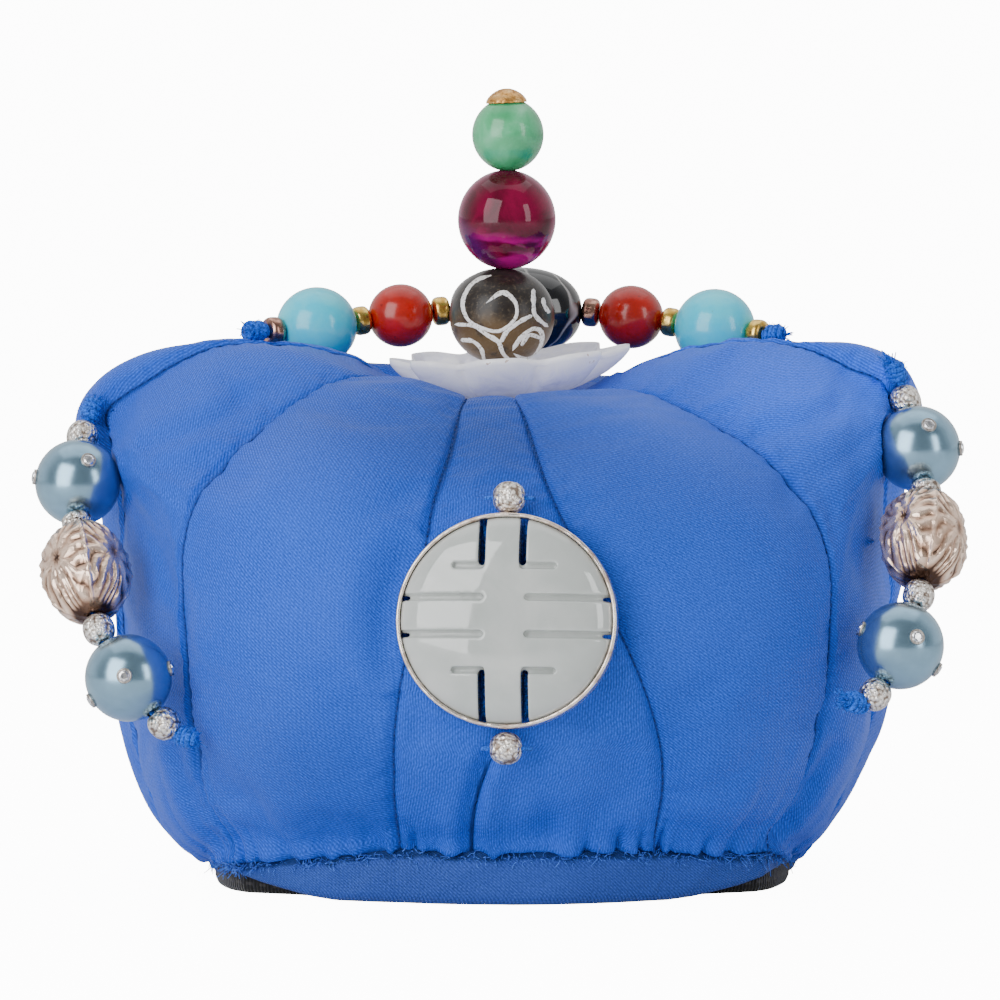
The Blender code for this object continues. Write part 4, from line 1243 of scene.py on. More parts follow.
    made["magenta"], tree, shader = new_material(
        "dark magenta glass", Roughness=0.07, Coat_Weight=0.1, Coat_Roughness=0.03, Specular_IOR_Level=0.28
    )
    place = attribute(tree, "bead_place", "Vector")
    x, _, z = split(tree, place)
    cloud = noise_of(tree, place, 1.3, 3.0, 0.5, 0.6)
    drawn = add_node(tree, "ShaderNodeMapping", Vector=place, Rotation=(0.0, 0.45, 0.0), Scale=(0.9, 0.9, 3.4))
    streaks = noise_of(tree, drawn.outputs[0], 1.2, 2.0, 0.5, 0.3)
    low = times(tree, spread(tree, z, -0.1, -0.55), spread(tree, streaks, 0.42, 0.6))
    colour = mixed(tree, spread(tree, cloud, 0.3, 0.7), (0.06, 0.001, 0.01), (0.2, 0.001, 0.035))
    colour = mixed(tree, low, colour, (0.42, 0.0, 0.17))
    colour = mixed(tree, spread(tree, plus(tree, x, z), -0.75, -1.15), colour, (0.08, 0.001, 0.06))
    # Painted light at the rim: the bead's colour turns a lighter magenta where its surface turns away from the
    # view.
    rim = add_node(tree, "ShaderNodeLayerWeight", Blend=0.3).outputs["Facing"]
    colour = mixed(tree, spread(tree, rim, 0.3, 0.9, 0.0, 0.85), colour, (0.5, 0.01, 0.17))
    connect(tree, shader, Base_Color=colour)

    made["green"], tree, shader = new_material(
        "green jade", Roughness=0.2, Coat_Weight=0.2, Coat_Roughness=0.08, Subsurface_Weight=0.1,
        Subsurface_Scale=0.002, Subsurface_Radius=(1.0, 1.0, 1.0),
    )
    cloud = noise_of(tree, object_place(tree), 120.0, 4.0, 0.55, 0.8)
    colour = ramp(tree, cloud, (0.3, 0.035, 0.32, 0.12), (0.52, 0.08, 0.45, 0.2), (0.75, 0.22, 0.6, 0.36))
    connect(tree, shader, Base_Color=colour)
    return made


# What one operator leaves for the next: the crown's cloth, the beads' finishes and the thread.
MADE = {}


def bead_materials_once(settings):
    if "beads" not in MADE:
        MADE["beads"] = bead_materials(settings)
        MADE["thread"] = thread_material("blue thread", settings.thread)
    return MADE["beads"]


def add_beads(laid, settings):
    """The beads in their places, each in its finish."""
    materials = bead_materials_once(settings)
    for name, kind, centre, turned in laid:
        foil = kind == "lantern"
        grid = bead_grid(kind, *(FOIL_FACES if foil else (settings.sides, settings.rows)))
        grid, relief = pressed_foil(grid) if foil else (grid, None)
        mesh = skin(name, grid @ turned.T + centre, close_rows=True)
        set_attribute(mesh, "bead_place", grid.reshape(-1, 3) / bead_size(kind)[0], "FLOAT_VECTOR")
        # The foil's relief also sets its colour, as painted shade in its grooves.
        if foil:
            set_attribute(mesh, "relief", relief.ravel())
        add_piece(f"{name}_finish", mesh, materials[kind], (name,))


def add_string_thread(prefix, laid):
    """The thread through the beads, a knot at each end and its loose fibres."""
    knot_spread = KNOT_SPREAD.get(prefix, ((0, 0, 0), (0, 0, 0)))
    start, finish = (np.array(place) + by for place, by in zip(STRING_ENDS[prefix], knot_spread))
    if np.linalg.norm(laid[0][2] - start) > np.linalg.norm(laid[0][2] - finish):
        start, finish = finish, start
    line = [start]
    for _, kind, centre, turned in laid:
        axis = turned[:, 2]
        axis = axis if axis @ (finish - start) > 0 else -axis
        end = bead_end(kind)
        line += [centre - axis * (end + 0.05), centre + axis * (end + 0.05)]
    last = line[-1]
    run = unit(finish - last)
    line.append(last + run * KNOT_LENGTH)
    thread = tube("thread", smooth_path(line, 6), THREAD_RADIUS)
    frayed = prefix == "right"
    knots = []
    tufts = []
    for number, (place, ahead) in enumerate(((start, unit(line[1] - start)), (last, run))):
        middle = place + ahead * (0.5 * KNOT_LENGTH)
        knots.append(tube("knot", coil_line(middle, ahead, 4.2, 3.9, 1.6), 0.5))
        askew = coil_line(middle + ahead * 0.4, ahead + [0.5, 0.1, -0.4], 1.6, 1.2, 1.55)
        knots.append(tube("knot", askew, 0.42))
        knots.append(tube("knot", np.linspace(middle - ahead * 2.1, middle + ahead * 2.1, 8), 1.15))
        away = -ahead if number == 0 else ahead
        loose = away * 0.4 + np.array([-0.5, -0.25, -0.1]) if frayed else away + np.array([0, 0.5, -0.1])
        many, long = (34, 3.0) if frayed else (14, 2.2)
        tufts += strands(middle + away * 1.2, loose, many, long, number + len(prefix))
    surface = joined("knots", [mesh.copy() for mesh in knots])
    material = MADE["thread"]
    piece = joined("thread", [thread, *knots, *tufts])
    add_piece(f"{prefix}_thread_wound", piece, material, (f"{prefix}_thread",))
    fibres = set_many(scatter_over_a_surface, surface, fibre(0.0012, 0.00006), Density=4.5e5, Lean=1.1,
                      Seed=len(prefix), Material=material)
    add_piece(f"{prefix}_thread_fibres", fibres, None, ())


class OBJECT_OT_coronet_cloth(Operator):
    """Sew the satin crown with its seams, folds and gathers"""

    bl_idname = "object.coronet_cloth"
    bl_label = "Crown"

    def execute(self, context):
        settings = context.scene.coronet_cloth
        grid, seam_gap, gather, tone = crown_cloth(settings)
        columns = settings.panel_columns
        wrapped = closed(grid)
        maps = []
        for number, grain in enumerate(PANEL_GRAIN):
            part = wrapped[:, number * columns : (number + 1) * columns + 1]
            maps.append(face_corners(cloth_map(part, grain, columns // 2) + number * 0.37))
        hollow = hollow_rows(grid[-1], 0.05)
        whole = np.concatenate([grid, hollow])
        down, across = np.arange(len(hollow) + 1) * 0.12, np.linspace(0, 3.3, wrapped.shape[1])
        lining = np.stack(np.broadcast_arrays(down[:, None], across[None]), -1)
        uv = np.concatenate([np.concatenate(maps, axis=1), face_corners(lining)])
        top = np.array([0, 0, LEFT_SEAM["height"][0] - 0.2])
        mesh = skin("crown_cloth", whole, tips=(top, np.array([0, 0, HOLLOW[-1][1]])), uv=uv)
        for name, values, inside in (("seam_gap", seam_gap, 9.0), ("tone", tone, 1.0), ("gather", gather, 0.0)):
            every = np.full(whole.shape[:2], inside)
            every[: len(grid)] = values
            set_attribute(mesh, name, every.ravel())
        cloth = satin("blue satin", settings.colour, settings.weave_pitch, True)
        piece = add_piece("crown_cloth", mesh, cloth, ("crown",))
        MADE["crown"] = (grid, grid_normals(grid), columns)
        return {"FINISHED"}


class OBJECT_OT_coronet_stitches(Operator):
    """Stitch the seams and fray the hem seam"""

    bl_idname = "object.coronet_stitches"
    bl_label = "Stitches"

    def execute(self, context):
        settings = context.scene.coronet_cloth
        grid, normals, columns = MADE["crown"]
        first = int(0.16 * len(grid))
        outs = [normals[first:-2, number * columns] for number in range(len(PANEL_KINDS))]
        lines = [grid[first:-2, number * columns] + out * 0.1 for number, out in enumerate(outs)]
        thread = thread_material("seam thread", (0.008, 0.035, 0.22), 0.8)
        mesh = set_many(set_along_a_line, line_mesh(lines, outs), capsule(0.00105, 0.00015),
                        Step=settings.stitch_pitch, Sway=0.12, Seed=4, Material=thread)
        add_piece("seam_stitches", mesh, None, ())
        hem = np.concatenate([grid[-1], grid[-1][:1]])
        out = np.concatenate([normals[-3], normals[-3][:1]])
        hem = inward(hem, -0.9, hem[:, 2] - 0.75)
        self.add_fray(hem, out)
        mesh = set_many(set_along_a_line, line_mesh([hem + out * 0.15], [out]), capsule(0.0015, 0.00013),
                        Step=0.0021, Sway=0.5, Seed=9, Material=thread)
        add_piece("hem_seam_stitches", mesh, None, ())
        return {"FINISHED"}

    def add_fray(self, hem, out):
        """Fine fibres all along the hem seam, and longer tufts here and there."""
        strip = np.stack([hem + out * off + [0, 0, up] for off, up in ((0.1, 0.3), (0.3, -0.2), (0.3, -0.9))])
        frayed = thread_material("frayed satin", (0.05, 0.17, 1.0), 0.6)
        mesh = set_many(scatter_over_a_surface, skin("fray", strip, close_columns=False), fibre(0.0021, 0.000085),
                        Density=2.0e6, Lean=1.4, Seed=11, Material=frayed)
        add_piece("hem_seam_fibres", mesh, None, ())
        tufts = []
        rng = np.random.default_rng(21)
        for number in rng.choice(len(hem) - 1, 120, replace=False):
            place = hem[number]
            dense = 0.35 + 0.65 * float(side_share(place[None])[0])
            for _ in range(int(rng.integers(2, 9) * dense) + 1):
                way = unit(out[number] * 0.5 + np.array([0, 0, rng.normal(-0.3, 0.6)]) + rng.normal(0, 0.75, 3))
                way = way if way @ out[number] > 0.15 else unit(way + out[number] * 0.8)
                t = np.linspace(0, 1, 7)[:, None]
                line = place + rng.normal(0, 0.35, 3) + way * rng.uniform(1.0, 2.6) * t
                line = line + rng.normal(0, 0.6, 3) * t**2
                tufts.append(tube("tuft", line, np.linspace(0.13, 0.06, 7), 5))
        add_piece("hem_seam_tufts", joined("tufts", tufts), frayed, ())


def hem_ring(columns):
    """The line round the crown where the hem is sewn on."""
    shares = panel_shares(columns)
    rings = [panel_points(panel, shares, np.array([float(LAST_LEVEL)]))[0, :-1] for panel in panels()]
    return pressed(np.concatenate(rings)[None], [], 0.0)[0]


def side_share(points):
    """How far each place is on the way from where the band is hidden to where it shows in full."""
    turn = np.abs(np.degrees(np.arctan2(points[:, 0], -points[:, 1])))
    turn = np.minimum(turn, 180 - turn)
    return np.clip((turn - BAND_SHOWS_FROM) / (BAND_SHOWS_FULL - BAND_SHOWS_FROM), 0.0, 1.0)


class OBJECT_OT_coronet_hem(Operator):
    """Roll the satin hem and put the black band in it"""

    bl_idname = "object.coronet_hem"
    bl_label = "Hem and band"

    # Down the outside of the roll and up its inside: share of the swell outwards, depth inwards and height.
    ROLL = {
        "out": (0.2, 0.75, 1.0, 0.95, 0.55, 0.0, 0.0, 0.0),
        "depth": (0.35, 0.0, 0.0, 0.0, 0.0, 0.8, 2.4, HEM_DEPTH),
        "height": (1.0, 0.82, 0.55, 0.32, 0.12, 0.0, 0.0, 0.04),
    }
    ROLL_ROWS = 34
    OUTER_ROWS = 14
    # The right half of the hem's edge rises less; the hem's satin is paler than the crown's.
    RIGHT_RISE = 0.72
    HEM_TINT = (1.9, 0.98, 0.58)

    def execute(self, context):
        settings = context.scene.coronet_cloth
        hem = hem_ring(settings.panel_columns)
        share = side_share(hem)
        swell = HEM_SWELL * (1 - 0.7 * share)
        top = hem[:, 2] - GAP
        bottom = np.interp(share, *HEM_BOTTOM) * np.where(hem[:, 0] > 0, self.RIGHT_RISE, 1.0)
        bottom = np.minimum(bottom, top - 1.3)
        count = len(hem)
        place = np.linspace(0, len(self.ROLL["out"]) - 1, self.ROLL_ROWS)
        gathers = ripples(count, 47, 1.9)
        wander = ripples(count, 19, 0.4)
        rows = []
        for out, depth, height in zip(*(blend(self.ROLL[key], place) for key in ("out", "depth", "height"))):
            loose = math.sin(math.pi * min(max(height, 0.0), 1.0)) * (out > 0.01)
            near_seam = float(ease(0.45, 1.0, height)) * (out > 0.01)
            lift = 0.42 * gathers * near_seam + 0.3 * np.roll(wander, int(10 * height)) * loose
            rows.append(inward(hem, depth - out * swell - lift, bottom + (top - bottom) * height))
        rows.append(inward(hem, HEM_DEPTH, top))
        grid = np.stack(rows)
        uv = cloth_map(closed(grid), -50, count // 4)
        mesh = skin("hem_roll", grid, close_rows=True, uv=face_corners(np.concatenate([uv, uv[:1]])))
        # Painted shadow under the crown's lip: the hem's outer rows get a seam gap from how far they lie below
        # the lip, so their satin darkens just under it.
        gap = np.full(grid.shape[:2], 9.0)
        below = top - lip_drop(count) - 0.35 - grid[: self.OUTER_ROWS, :, 2]
        gap[: self.OUTER_ROWS] = np.clip(below * 0.55, 0.02, 9.0)
        set_attribute(mesh, "seam_gap", gap.ravel())
        set_attribute(mesh, "gather", np.full(gap.size, 0.12))
        # The hem's satin colour is made darker by a flat 0.8 through the same factor.
        set_attribute(mesh, "tone", np.full(gap.size, 0.8))
        colour = [part * change for part, change in zip(settings.colour, self.HEM_TINT)]
        cloth = satin("hem satin", colour, settings.weave_pitch * 0.88)
        piece = add_piece("hem_roll", mesh, cloth, ("hem_band",))
        self.add_band(hem, top, share)
        return {"FINISHED"}

    def add_band(self, hem, top, share):
        """The woven band: flat inside the hem, with a rolled lower edge that shows at the corners."""
        edge = 4.6 - 4.8 * ease(0.3, 0.9, share)
        tall = np.minimum(1 + 1.25 * ease(0.2, 0.9, share), (top - 0.5) / 2.3)
        rows = [inward(hem, 4.8, top)]
        for depth, height in ((4.8, 2.3), (0.25, 2.15), (0.0, 1.75), (-0.12, 1.1), (0.0, 0.45), (0.35, 0.1)):
            rows.append(inward(hem, depth + edge * (depth < 4), height * tall))
        rows.append(inward(hem, edge + 0.9, 0.0))
        inside = ((6.5, 0.0), (7.05, 0.25), (7.2, 0.9), (7.2, top))
        rows += [inward(hem, depth, height) for depth, height in inside]
        grid = np.stack(rows)
        mesh = skin("mouth_band_weave", grid, close_rows=True)
        set_attribute(mesh, "run", np.tile(run_along(closed(grid)[5])[:-1], len(grid)))
        set_attribute(mesh, "row", np.repeat(np.arange(len(grid)), len(hem)).astype(float))
        made, tree, shader = new_material("black band", Roughness=0.85, Sheen_Weight=0.2, Sheen_Roughness=0.4)
        run, row = attribute(tree, "run"), attribute(tree, "row")
        fuzz = noise_of(tree, object_place(tree), 2400.0)
        ribs = plus(tree, times(tree, sine(tree, run, 9.0), 0.35), fuzz)
        off_line = value_of(tree, "ABSOLUTE", value_of(tree, "SUBTRACT", row, 4.2))
        stitch = spread(tree, sine(tree, run, 2.4), -0.4, 0.3)
        stitch = times(tree, spread(tree, off_line, 0.1, 0.35, 1.0, 0.0), stitch)
        # The ribs in the colour: darker between the ribs and lighter on them, painted shade that follows their
        # bump.
        colour = mixed(tree, spread(tree, ribs, 0.2, 0.9), (0.003, 0.003, 0.0035), (0.018, 0.018, 0.019))
        colour = mixed(tree, times(tree, stitch, 0.22), colour, (0.16, 0.15, 0.14))
        connect(tree, shader, Base_Color=colour, Normal=bump(tree, ribs, 0.8, 0.0003))
        add_piece("mouth_band_weave", mesh, made, ("mouth_band",))


class OBJECT_OT_coronet_medallion(Operator):
    """Set the pierced jade in its silver rim and sew on the silver beads"""

    bl_idname = "object.coronet_medallion"
    bl_label = "Medallion"

    # How far each silver bead stands above its solid's place, mm.
    BEAD_LIFT = {"upper": -0.2, "lower": 1.05}
    # The stitch through a silver bead: places across it and how deep they lie, mm.
    STITCH = ((-4.4, 1.9), (-3.2, 0.5), (-2.2, 0.0), (2.2, 0.0), (3.2, 0.5), (4.4, 1.9))

    def execute(self, context):
        settings = context.scene.coronet_beads
        self.add_rim()
        self.add_jade()
        bead_materials_once(settings)
        across, up, outward = medallion_frame().T
        laid = []
        for side, lift in self.BEAD_LIFT.items():
            centre, frame = bead_frame(f"medallion_bead_{side}")
            centre = centre + up * lift
            laid.append((f"medallion_bead_{side}", "silver", centre, frame))
            line = [centre + across * place - outward * deep for place, deep in self.STITCH]
            loops = [tube("stitch", smooth_path(line, 6), 0.42)]
            for x in (-4.15, 3.3):
                ends = np.array([[x, 9.8, 1.3], [x + 0.25, 13.5, 1.6], [x, 17.6, 1.3]])
                ends = ends if side == "upper" else ends * [1, -1, 1] + [0.2, 0, 0]
                loops.append(tube("stitch", on_medallion(smooth_path(ends, 6)), 0.5))
            name = f"medallion_stitch_{side}"
            add_piece(f"{name}_thread", joined("stitch", loops), MADE["thread"], (name,))
        add_beads(laid, settings)
        return {"FINISHED"}

    def add_rim(self):
        sides = 180
        # Down the inside, over the rounded edge and down the outside: radius against the rim's and height.
        outline = (
            (-BEZEL_WALL, BEZEL_DEPTH - 0.1), (-0.68, BEZEL_DEPTH + 0.16), (-0.42, BEZEL_DEPTH + 0.3),
            (-0.16, BEZEL_DEPTH + 0.12), (0.0, BEZEL_DEPTH - 0.25), (0.02, BEZEL_DEPTH * 0.5), (0.0, 0.06),
            (-0.06, 0.0), (-BEZEL_WALL, 0.0),
        )
        grid = lathe([(BEZEL_RADIUS + change, height) for change, height in outline], sides)
        turns = turns_round(sides)
        uneven = 0.05 * np.sin(11 * turns + 1) + 0.04 * np.sin(29 * turns) + 0.03 * np.sin(53 * turns + 2)
        grid[:5, :, 2] += uneven * np.array([0.5, 1, 1, 1, 0.5])[:, None]
        mesh = skin("rim", on_medallion(grid), close_rows=True)
        made, tree, shader = new_material("rim silver", Metallic=1.0, Roughness=0.25)
        here = object_place(tree)
        wear = noise_of(tree, here, 320.0, 4.0, 0.6)
        colour = ramp(tree, wear, (0.3, 0.5, 0.36, 0.28), (0.48, 0.92, 0.8, 0.71), (0.7, 1.0, 0.95, 0.9))
        connect(tree, shader, Base_Color=colour, Roughness=spread(tree, wear, 0.3, 0.7, 0.4, 0.16),
                Normal=bump(tree, noise_of(tree, here, 900.0, 1.0), 0.35, 0.0003))
        add_piece("medallion_rim", mesh, made, ("medallion_bezel",))

    def add_jade(self):
        sides = 160
        rings = [(JADE_REACH * 0.9, JADE_BACK), (JADE_REACH, JADE_BACK), (JADE_REACH, JADE_EDGE)]
        for angle in np.linspace(0.05, 0.98, 26) * math.pi / 2:
            rings.append((JADE_REACH * math.cos(angle) ** JADE_FULLNESS, JADE_EDGE + JADE_DOME * math.sin(angle)))
        grid = lathe(rings[::-1], sides)
        stone = add_object("jade", small_skin("jade", grid, (0, 0, JADE_EDGE + JADE_DOME), (0, 0, JADE_BACK)))
        cutters = [slot_cutter(*slot) for slot in SLOTS]
        for cutter in cutters:
            cut = stone.modifiers.new("slot", "BOOLEAN")
            cut.solver = "EXACT"
            cut.object = cutter
        again = stone.modifiers.new("remesh", "REMESH")
        again.mode = "VOXEL"
        again.voxel_size = 0.00024
        again.use_smooth_shade = True
        soft = stone.modifiers.new("soften", "SMOOTH")
        soft.iterations = 5
        soft.factor = 0.5
        mesh = evaluated(stone)
        for helper in (stone, *cutters):
            bpy.data.objects.remove(helper)
        mesh.vertices.foreach_set("co", ((on_medallion(places_of(mesh)) + SHIFT) * MM).ravel())
        made, tree, shader = new_material(
            "pale jade", Roughness=0.07, Coat_Weight=1.0, Coat_Roughness=0.03, Subsurface_Weight=0.35,
            Subsurface_Scale=0.004, Subsurface_Radius=(0.9, 1.0, 0.9),
        )
        here = object_place(tree)
        cloud = noise_of(tree, here, 70.0, 4.0, 0.55, 0.6)
        colour = ramp(tree, cloud, (0.28, 0.43, 0.465, 0.445), (0.5, 0.5, 0.53, 0.515), (0.75, 0.6, 0.62, 0.6))
        connect(tree, shader, Base_Color=colour, Normal=bump(tree, noise_of(tree, here, 900.0), 0.05, 0.0002))
        add_piece("medallion_stone", mesh, made, ("medallion_jade",))


def dome_height(x, y):
    """Height of the stone's dome above its back at a place on it."""
    share = np.clip(np.hypot(x, y) / JADE_REACH, 0.0, 1.0) ** (1 / JADE_FULLNESS)
    return JADE_EDGE + JADE_DOME * np.sqrt(1 - share**2)


def slot_cutter(left, right, low, high, floor):
    """A helper that cuts a slot with round ends, in the medallion's coordinates; a groove follows the dome."""
    half = min(high - low, right - left) / 2
    x, y = (left + right) / 2, (low + high) / 2
    if floor == THROUGH:
        turns = np.linspace(-math.pi / 2, math.pi / 2, 9)
        arc = [(half * math.cos(t) - half, half * math.sin(t)) for t in turns]
        if right - left > high - low:
            ring = [(right + out, y + side) for out, side in arc] + [(left - out, y - side) for out, side in arc]
        else:
            ring = [(x - side, high + out) for out, side in arc] + [(x + side, low - out) for out, side in arc]
        grid = np.stack([np.column_stack([ring, np.full(len(ring), height)]) for height in (12.0, THROUGH)])
    else:
        along = np.linspace(left, right, 33)
        inner = np.minimum(np.abs(along - left), np.abs(right - along))
        taper = np.sqrt(np.clip(1 - (1 - np.clip(inner / half, 0, 1)) ** 2, 0.02, 1.0))
        bed = dome_height(along, np.full(33, y)) + floor
        side = ((-0.8, 0.3), (-1.15, 0.95), (-1.4, 9.0))
        section = ((0.0, 0.0), *side, *((-across, lift) for across, lift in reversed(side)))
        rows = [np.column_stack([along, y + across * half * taper, bed + lift]) for across, lift in section]
        grid = np.stack(rows, axis=1)[:, ::-1]
    mesh = small_skin("slot", grid, grid[0].mean(axis=0), grid[-1].mean(axis=0))
    made = bmesh.new()
    made.from_mesh(mesh)
    bmesh.ops.recalc_face_normals(made, faces=made.faces)
    made.to_mesh(mesh)
    made.free()
    return add_object("slot", mesh)


def flower_surface(turn, share, height):
    """A point of the flower: petals meet in valleys and end in blunt tips."""
    swing = np.cos(PETALS * turn)
    petal = 1 - 0.15 * ((1 - swing) / 2) ** 1.6 * ease(0.45, 1.0, share)
    reach = share * petal * (FLOWER_REACH + FLOWER_LEAN * np.cos(turn))
    dip = 0.9 * ease(0.4, 0.9, share) * ((1 - swing) / 2) ** 2
    point = np.stack([reach * np.cos(turn), reach * np.sin(turn), height - dip - FLOWER_PIVOT], axis=-1)
    tilt = np.array(Matrix.Rotation(-math.radians(FLOWER_TILT), 3, "Y"))
    return point @ tilt.T + np.array([FLOWER_MIDDLE_X, 0, FLOWER_PIVOT])


class OBJECT_OT_coronet_flower(Operator):
    """Carve the jade flower under the stack"""

    bl_idname = "object.coronet_flower"
    bl_label = "Flower"

    # From the hole outwards: share of the reach, height of the upper and of the lower face in mm.
    SECTION = {
        "share": (0.3, 0.55, 0.78, 0.93, 1.0),
        "upper": (94.2, 94.0, 94.9, 96.2, 97.0),
        "lower": (88.7, 89.7, 91.9, 94.4, 96.2),
    }

    def execute(self, context):
        columns = 320
        turn = turns_round(columns)
        place = np.linspace(0, 4, 26)
        shares, upper, lower = (blend(self.SECTION[key], place) for key in ("share", "upper", "lower"))
        petals = turn * PETALS / (2 * math.pi)
        cup = 0.45 * (1 - ((1 - np.cos(PETALS * turn)) / 2))
        vein = 0.22 * bell((petals + 0.5) % 1.0 - 0.5, 0, 0.05)
        valley = 0.55 * bell(petals % 1.0 - 0.5, 0, 0.07)

        def ring(share, height):
            return flower_surface(turn, np.full(columns, share), np.broadcast_to(height, columns))

        middle = ring(0.0, FLOWER_PIVOT)
        hole = middle + unit(ring(0.3, FLOWER_PIVOT) - middle) * 0.9
        rows = [np.column_stack([hole[:, :2], np.full(columns, height)]) for height in (lower[0], upper[0])]
        for share, height in zip(shares, upper):
            inside = float(ease(0.34, 0.6, share)) * (1 - float(ease(0.93, 1.0, share)))
            lip = 0.35 * bell(share, 0.985, 0.02)
            rows.append(ring(share, height - inside * (cup + vein + valley) + lip))
        for share, height in zip(shares[::-1], lower[::-1]):
            fold = 1.3 * valley * float(ease(0.4, 0.8, share)) * (1 - float(ease(0.97, 1.0, share)))
            rows.append(ring(share, height + fold))
        mesh = skin("flower", np.stack(rows)[::-1], close_rows=True)
        edge = np.concatenate([[0.3, 0.3], shares, shares[::-1]])[::-1]
        set_attribute(mesh, "edge", np.repeat(edge, columns))
        # The emission is painted light: a faint white glow over the whole flower that lifts its shaded underside.
        made, tree, shader = new_material(
            "lavender jade", Roughness=0.22, Coat_Weight=0.2, Coat_Roughness=0.1, Subsurface_Weight=0.7,
            Subsurface_Scale=0.005, Subsurface_Radius=(1.0, 1.0, 1.0), Emission_Color=(0.85, 0.85, 1.0),
            Emission_Strength=0.2,
        )
        here, edge = object_place(tree), attribute(tree, "edge")
        cloud = noise_of(tree, here, 150.0, 5.0, 0.65, 0.9)
        colour = ramp(tree, cloud, (0.3, 0.6, 0.6, 0.72), (0.45, 0.82, 0.81, 0.89), (0.62, 0.98, 0.97, 1.0))
        colour = mixed(tree, spread(tree, edge, 0.9, 1.0, 0.0, 0.7), colour, (0.86, 0.86, 0.88))
        specks = spread(tree, noise_of(tree, here, 700.0, 1.0), 0.7, 0.74)
        specks = times(tree, specks, spread(tree, edge, 0.93, 0.99, 0.0, 0.8))
        colour = mixed(tree, specks, colour, (0.3, 0.16, 0.06))
        connect(tree, shader, Base_Color=colour, Normal=bump(tree, cloud, 0.3, 0.0008))
        add_piece("stack_flower_carved", mesh, made, ("stack_flower",))
        return {"FINISHED"}


# The white scrolls cut round the lowest bead of the stack: rows of places across and up, as shares of its radius.
SCROLLS = (
    ((-0.31, 0.28), (-0.02, 0.49), (0.21, 0.36), (0.28, 0.14), (0.2, -0.06), (-0.05, -0.24), (-0.37, -0.2),
     (-0.64, -0.06), (-0.76, 0.22), (-0.68, 0.5), (-0.5, 0.69), (-0.24, 0.79)),
    ((-0.89, -0.18), (-0.54, -0.17), (-0.28, -0.32), (-0.05, -0.45), (0.05, -0.67), (0.2, -0.83)),
    ((-0.76, -0.47), (-0.54, -0.47), (-0.37, -0.61), (-0.3, -0.84)),
    ((0.0, -0.45), (0.11, -0.24), (0.35, -0.04), (0.57, 0.08)),
    ((0.23, -0.61), (0.37, -0.36), (0.59, -0.18), (0.76, -0.24), (0.77, -0.47), (0.64, -0.73), (0.45, -0.77),
     (0.25, -0.67)),
    ((0.39, -0.51), (0.53, -0.3), (0.76, -0.36)),
    ((0.57, 0.57), (0.59, 0.31), (0.63, 0.08), (0.88, -0.14)),
    ((0.76, 0.41), (0.8, 0.26), (0.9, 0.12)),
)
SCROLL_WIDTH = 0.52


def scroll_ribbon(places, turned_by, radius, half, power):
    """A flat ribbon that lies on the bead along a scroll, in the bead's own coordinates."""
    line = smooth_path(places, 10)
    steps = np.linspace(0, 1, len(line))
    rng = np.random.default_rng(len(places))
    width = SCROLL_WIDTH * (0.85 + 0.22 * np.interp(steps, np.linspace(0, 1, 9), rng.uniform(-1, 1, 9)))
    width *= ease(0.0, 0.06, steps) * ease(0.0, 0.08, 1 - steps) * 0.8 + 0.2
    ahead = unit(np.gradient(line, axis=0))
    side = np.stack([-ahead[:, 1], ahead[:, 0]], axis=1) / radius
    rows = []
    for share, lift in ((-1.0, -0.06), (-0.6, 0.05), (0.0, 0.075), (0.6, 0.05), (1.0, -0.06)):
        ragged = 1 + (0.12 * rng.uniform(-1, 1, len(line)) if abs(share) == 1.0 else 0.0)
        flat = line + side * (share * width * ragged)[:, None]
        up = np.clip(flat[:, 1] * radius / half, -0.97, 0.97)
        out = radius * (1 - np.abs(up) ** power) ** (1 / power)
        across = np.clip(flat[:, 0] * radius, -out * 0.985, out * 0.985)
        deep = np.sqrt(out**2 - across**2)
        points = np.stack([across, -deep, up * half], axis=1)
        points = points * (1 + lift / np.linalg.norm(points, axis=1))[:, None]
        rows.append(points)
    cos, sin = math.cos(turned_by), math.sin(turned_by)
    return np.stack(rows) @ np.array([[cos, -sin, 0], [sin, cos, 0], [0, 0, 1]]).T


